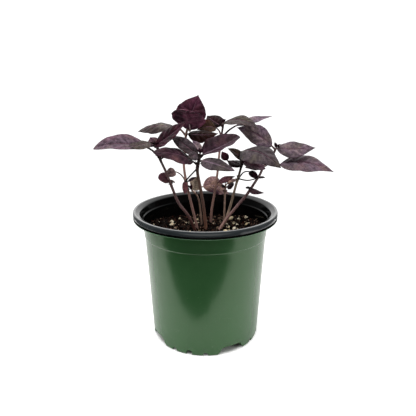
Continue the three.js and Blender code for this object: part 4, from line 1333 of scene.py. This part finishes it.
# %% [markdown]
# ## The eight plants
# Now each plant is put together: its stem, its leaves with their stalks, and its young leaves
# become one mesh with two materials, as the solid plant is one fused piece. One generator of random
# numbers serves all plants in turn, so every run gives the same young leaves.

# %% Build the plants
rng = np.random.default_rng(5)
for name, seedling in PLANTS.items():
    stem_line = smooth_line(seedling["stem"], 40)[0]
    old, young = seedling["leaves"], young_leaves(seedling, rng)
    blades = joined([blade(one, number) for lot in (old, young) for number, one in enumerate(lot)])
    woody = joined([stem_tube(seedling)]
                   + [stalk_tube(one, stem_line, seedling["paint"][2]) for one in old])
    is_woody = np.concatenate([np.full(len(part[faces]), number) for faces in ("quads", "tris")
                               for number, part in enumerate((blades, woody))])
    piece = new_piece(name.replace("plant", "basil"), joined([blades, woody]),
                      [blade_matter, stem_matter], is_woody, sharp=70)
    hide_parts(name)

# %% [markdown]
# ## Floor
# The photograph is a bright product picture: white floor, white surroundings. The floor's edges
# count, because past them the wall mirrors the surroundings, which are dimmer at the sides. Beyond
# the foot the floor glows a little, for the camera alone: it turns white in the picture, but lights
# the pot from below no more than a plain floor does.

# %% Floor
FLOOR_GLOW = 0.4


def stage_sheet(name, corners, material):
    """A flat sheet through the corners, given in millimetres about the pot's axis."""
    mesh = bpy.data.meshes.new(name)
    mesh.from_pydata(in_frame(corners).tolist(), [], [list(range(len(corners)))])
    mesh.materials.append(material)
    sheet = placed(name, mesh)
    return sheet


floor_matter, tree, shader = new_material(
    "studio_floor", base_color=(0.93, 0.925, 0.915, 1), roughness=0.8, emission_color=(1, 1, 1, 1))
seen = add_node(tree, "ShaderNodeLightPath").outputs["Is Camera Ray"]
beyond_foot = stepped(tree, from_axis(tree), 39 * MM, 46 * MM)
tree.links.new(times(tree, times(tree, seen, FLOOR_GLOW), beyond_foot),
               shader.inputs["Emission Strength"])
floor = stage_sheet("floor", [(-255, -1500, 0), (290, -1500, 0), (290, 240, 0), (-255, 240, 0)],
                    floor_matter)
print("floor, m:", [round(size, 2) for size in floor.dimensions[:2]])

# %% [markdown]
# ## The dark wedge in the pot's wall
# The wedge is the reflection of unlit space that lies on the floor before the pot, towards the
# camera. A black card on the floor gives that reflection, as a studio photographer would do it. Its
# far edge was found by sending rays from the camera to the wedge's outline on the wall and on, as
# they are mirrored, to the floor. The camera doesn't see the card, and it throws no shadow.

# %% Black card
CARD_EDGE = [(350, -235), (172, -154), (138, -143), (99, -134), (62, -125), (45, -121), (22, -113),
             (6, -97), (-20, -85), (-60, -84), (-86, -83), (-133, -78), (-168, -73), (-184, -64),
             (-219, -57), (-500, -60), (-500, -302), (500, -302)]

card_matter = new_material("black_card", base_color=(0.004, 0.004, 0.004, 1), roughness=0.9,
                           specular_ior_level=0.0)[0]
card = stage_sheet("black_card", [(x, y, 0.5) for x, y in CARD_EDGE], card_matter)
card.visible_camera = card.visible_shadow = card.visible_transmission = False
print("corners of the card:", len(CARD_EDGE))

# %% [markdown]
# ## Light
# Soft light falls from above and from both sides. The white surroundings light the pot too, more
# from behind and above than from the camera's side, and to the camera they are plain white. Three
# large square lamps stand for the softboxes. They are hidden from glossy rays, because the real
# wall mirrors no lamp.

# %% World
DIM_FRONT, BRIGHT_BACK, WHITE_TO_CAMERA = 0.16, 1.15, 1.2

world = bpy.data.worlds.new("studio")
bpy.context.scene.world = world
world.use_nodes = True
tree = world.node_tree
background = tree.nodes["Background"]
background.inputs["Color"].default_value = (1, 1, 1, 1)
heading = add_node(tree, "ShaderNodeTexCoord").outputs["Generated"]
towards_back = vector_sum(tree, "DOT_PRODUCT", heading, (0, 0.8, 0.6), output="Value")
strength = stepped(tree, towards_back, 0.42, 0.8, DIM_FRONT, BRIGHT_BACK)
seen = add_node(tree, "ShaderNodeLightPath").outputs["Is Camera Ray"]
seen = times(tree, seen, WHITE_TO_CAMERA)
tree.links.new(calculate(tree, "MAXIMUM", strength, seen), background.inputs["Strength"])
print("world:", len(tree.nodes), "nodes")

# %% Softboxes
LIT_PLACE = np.array([0, 0, 100])
SOFTBOXES = {  # place in mm, size in metres and power in watts
    "softbox_above": ((-40, -160, 740), 0.5, 6.4), "softbox_left": ((-900, -250, 380), 0.6, 3.3),
    "softbox_right": ((900, -250, 380), 0.6, 3.3)}

for name, (place, size, power) in SOFTBOXES.items():
    data = bpy.data.lights.new(name, "AREA")
    data.shape, data.size, data.energy = "SQUARE", size, power
    lamp = placed(name, data)
    lamp.location = in_frame(place)
    aim = unit(LIT_PLACE - place)
    lamp.rotation_euler = (math.acos(-aim[2]), 0, math.atan2(aim[1], aim[0]) - math.pi / 2)
    lamp.visible_glossy = False
bpy.context.scene.view_settings.view_transform = "Standard"
bpy.context.scene.view_settings.look = "None"
print("lamps:", len(SOFTBOXES))
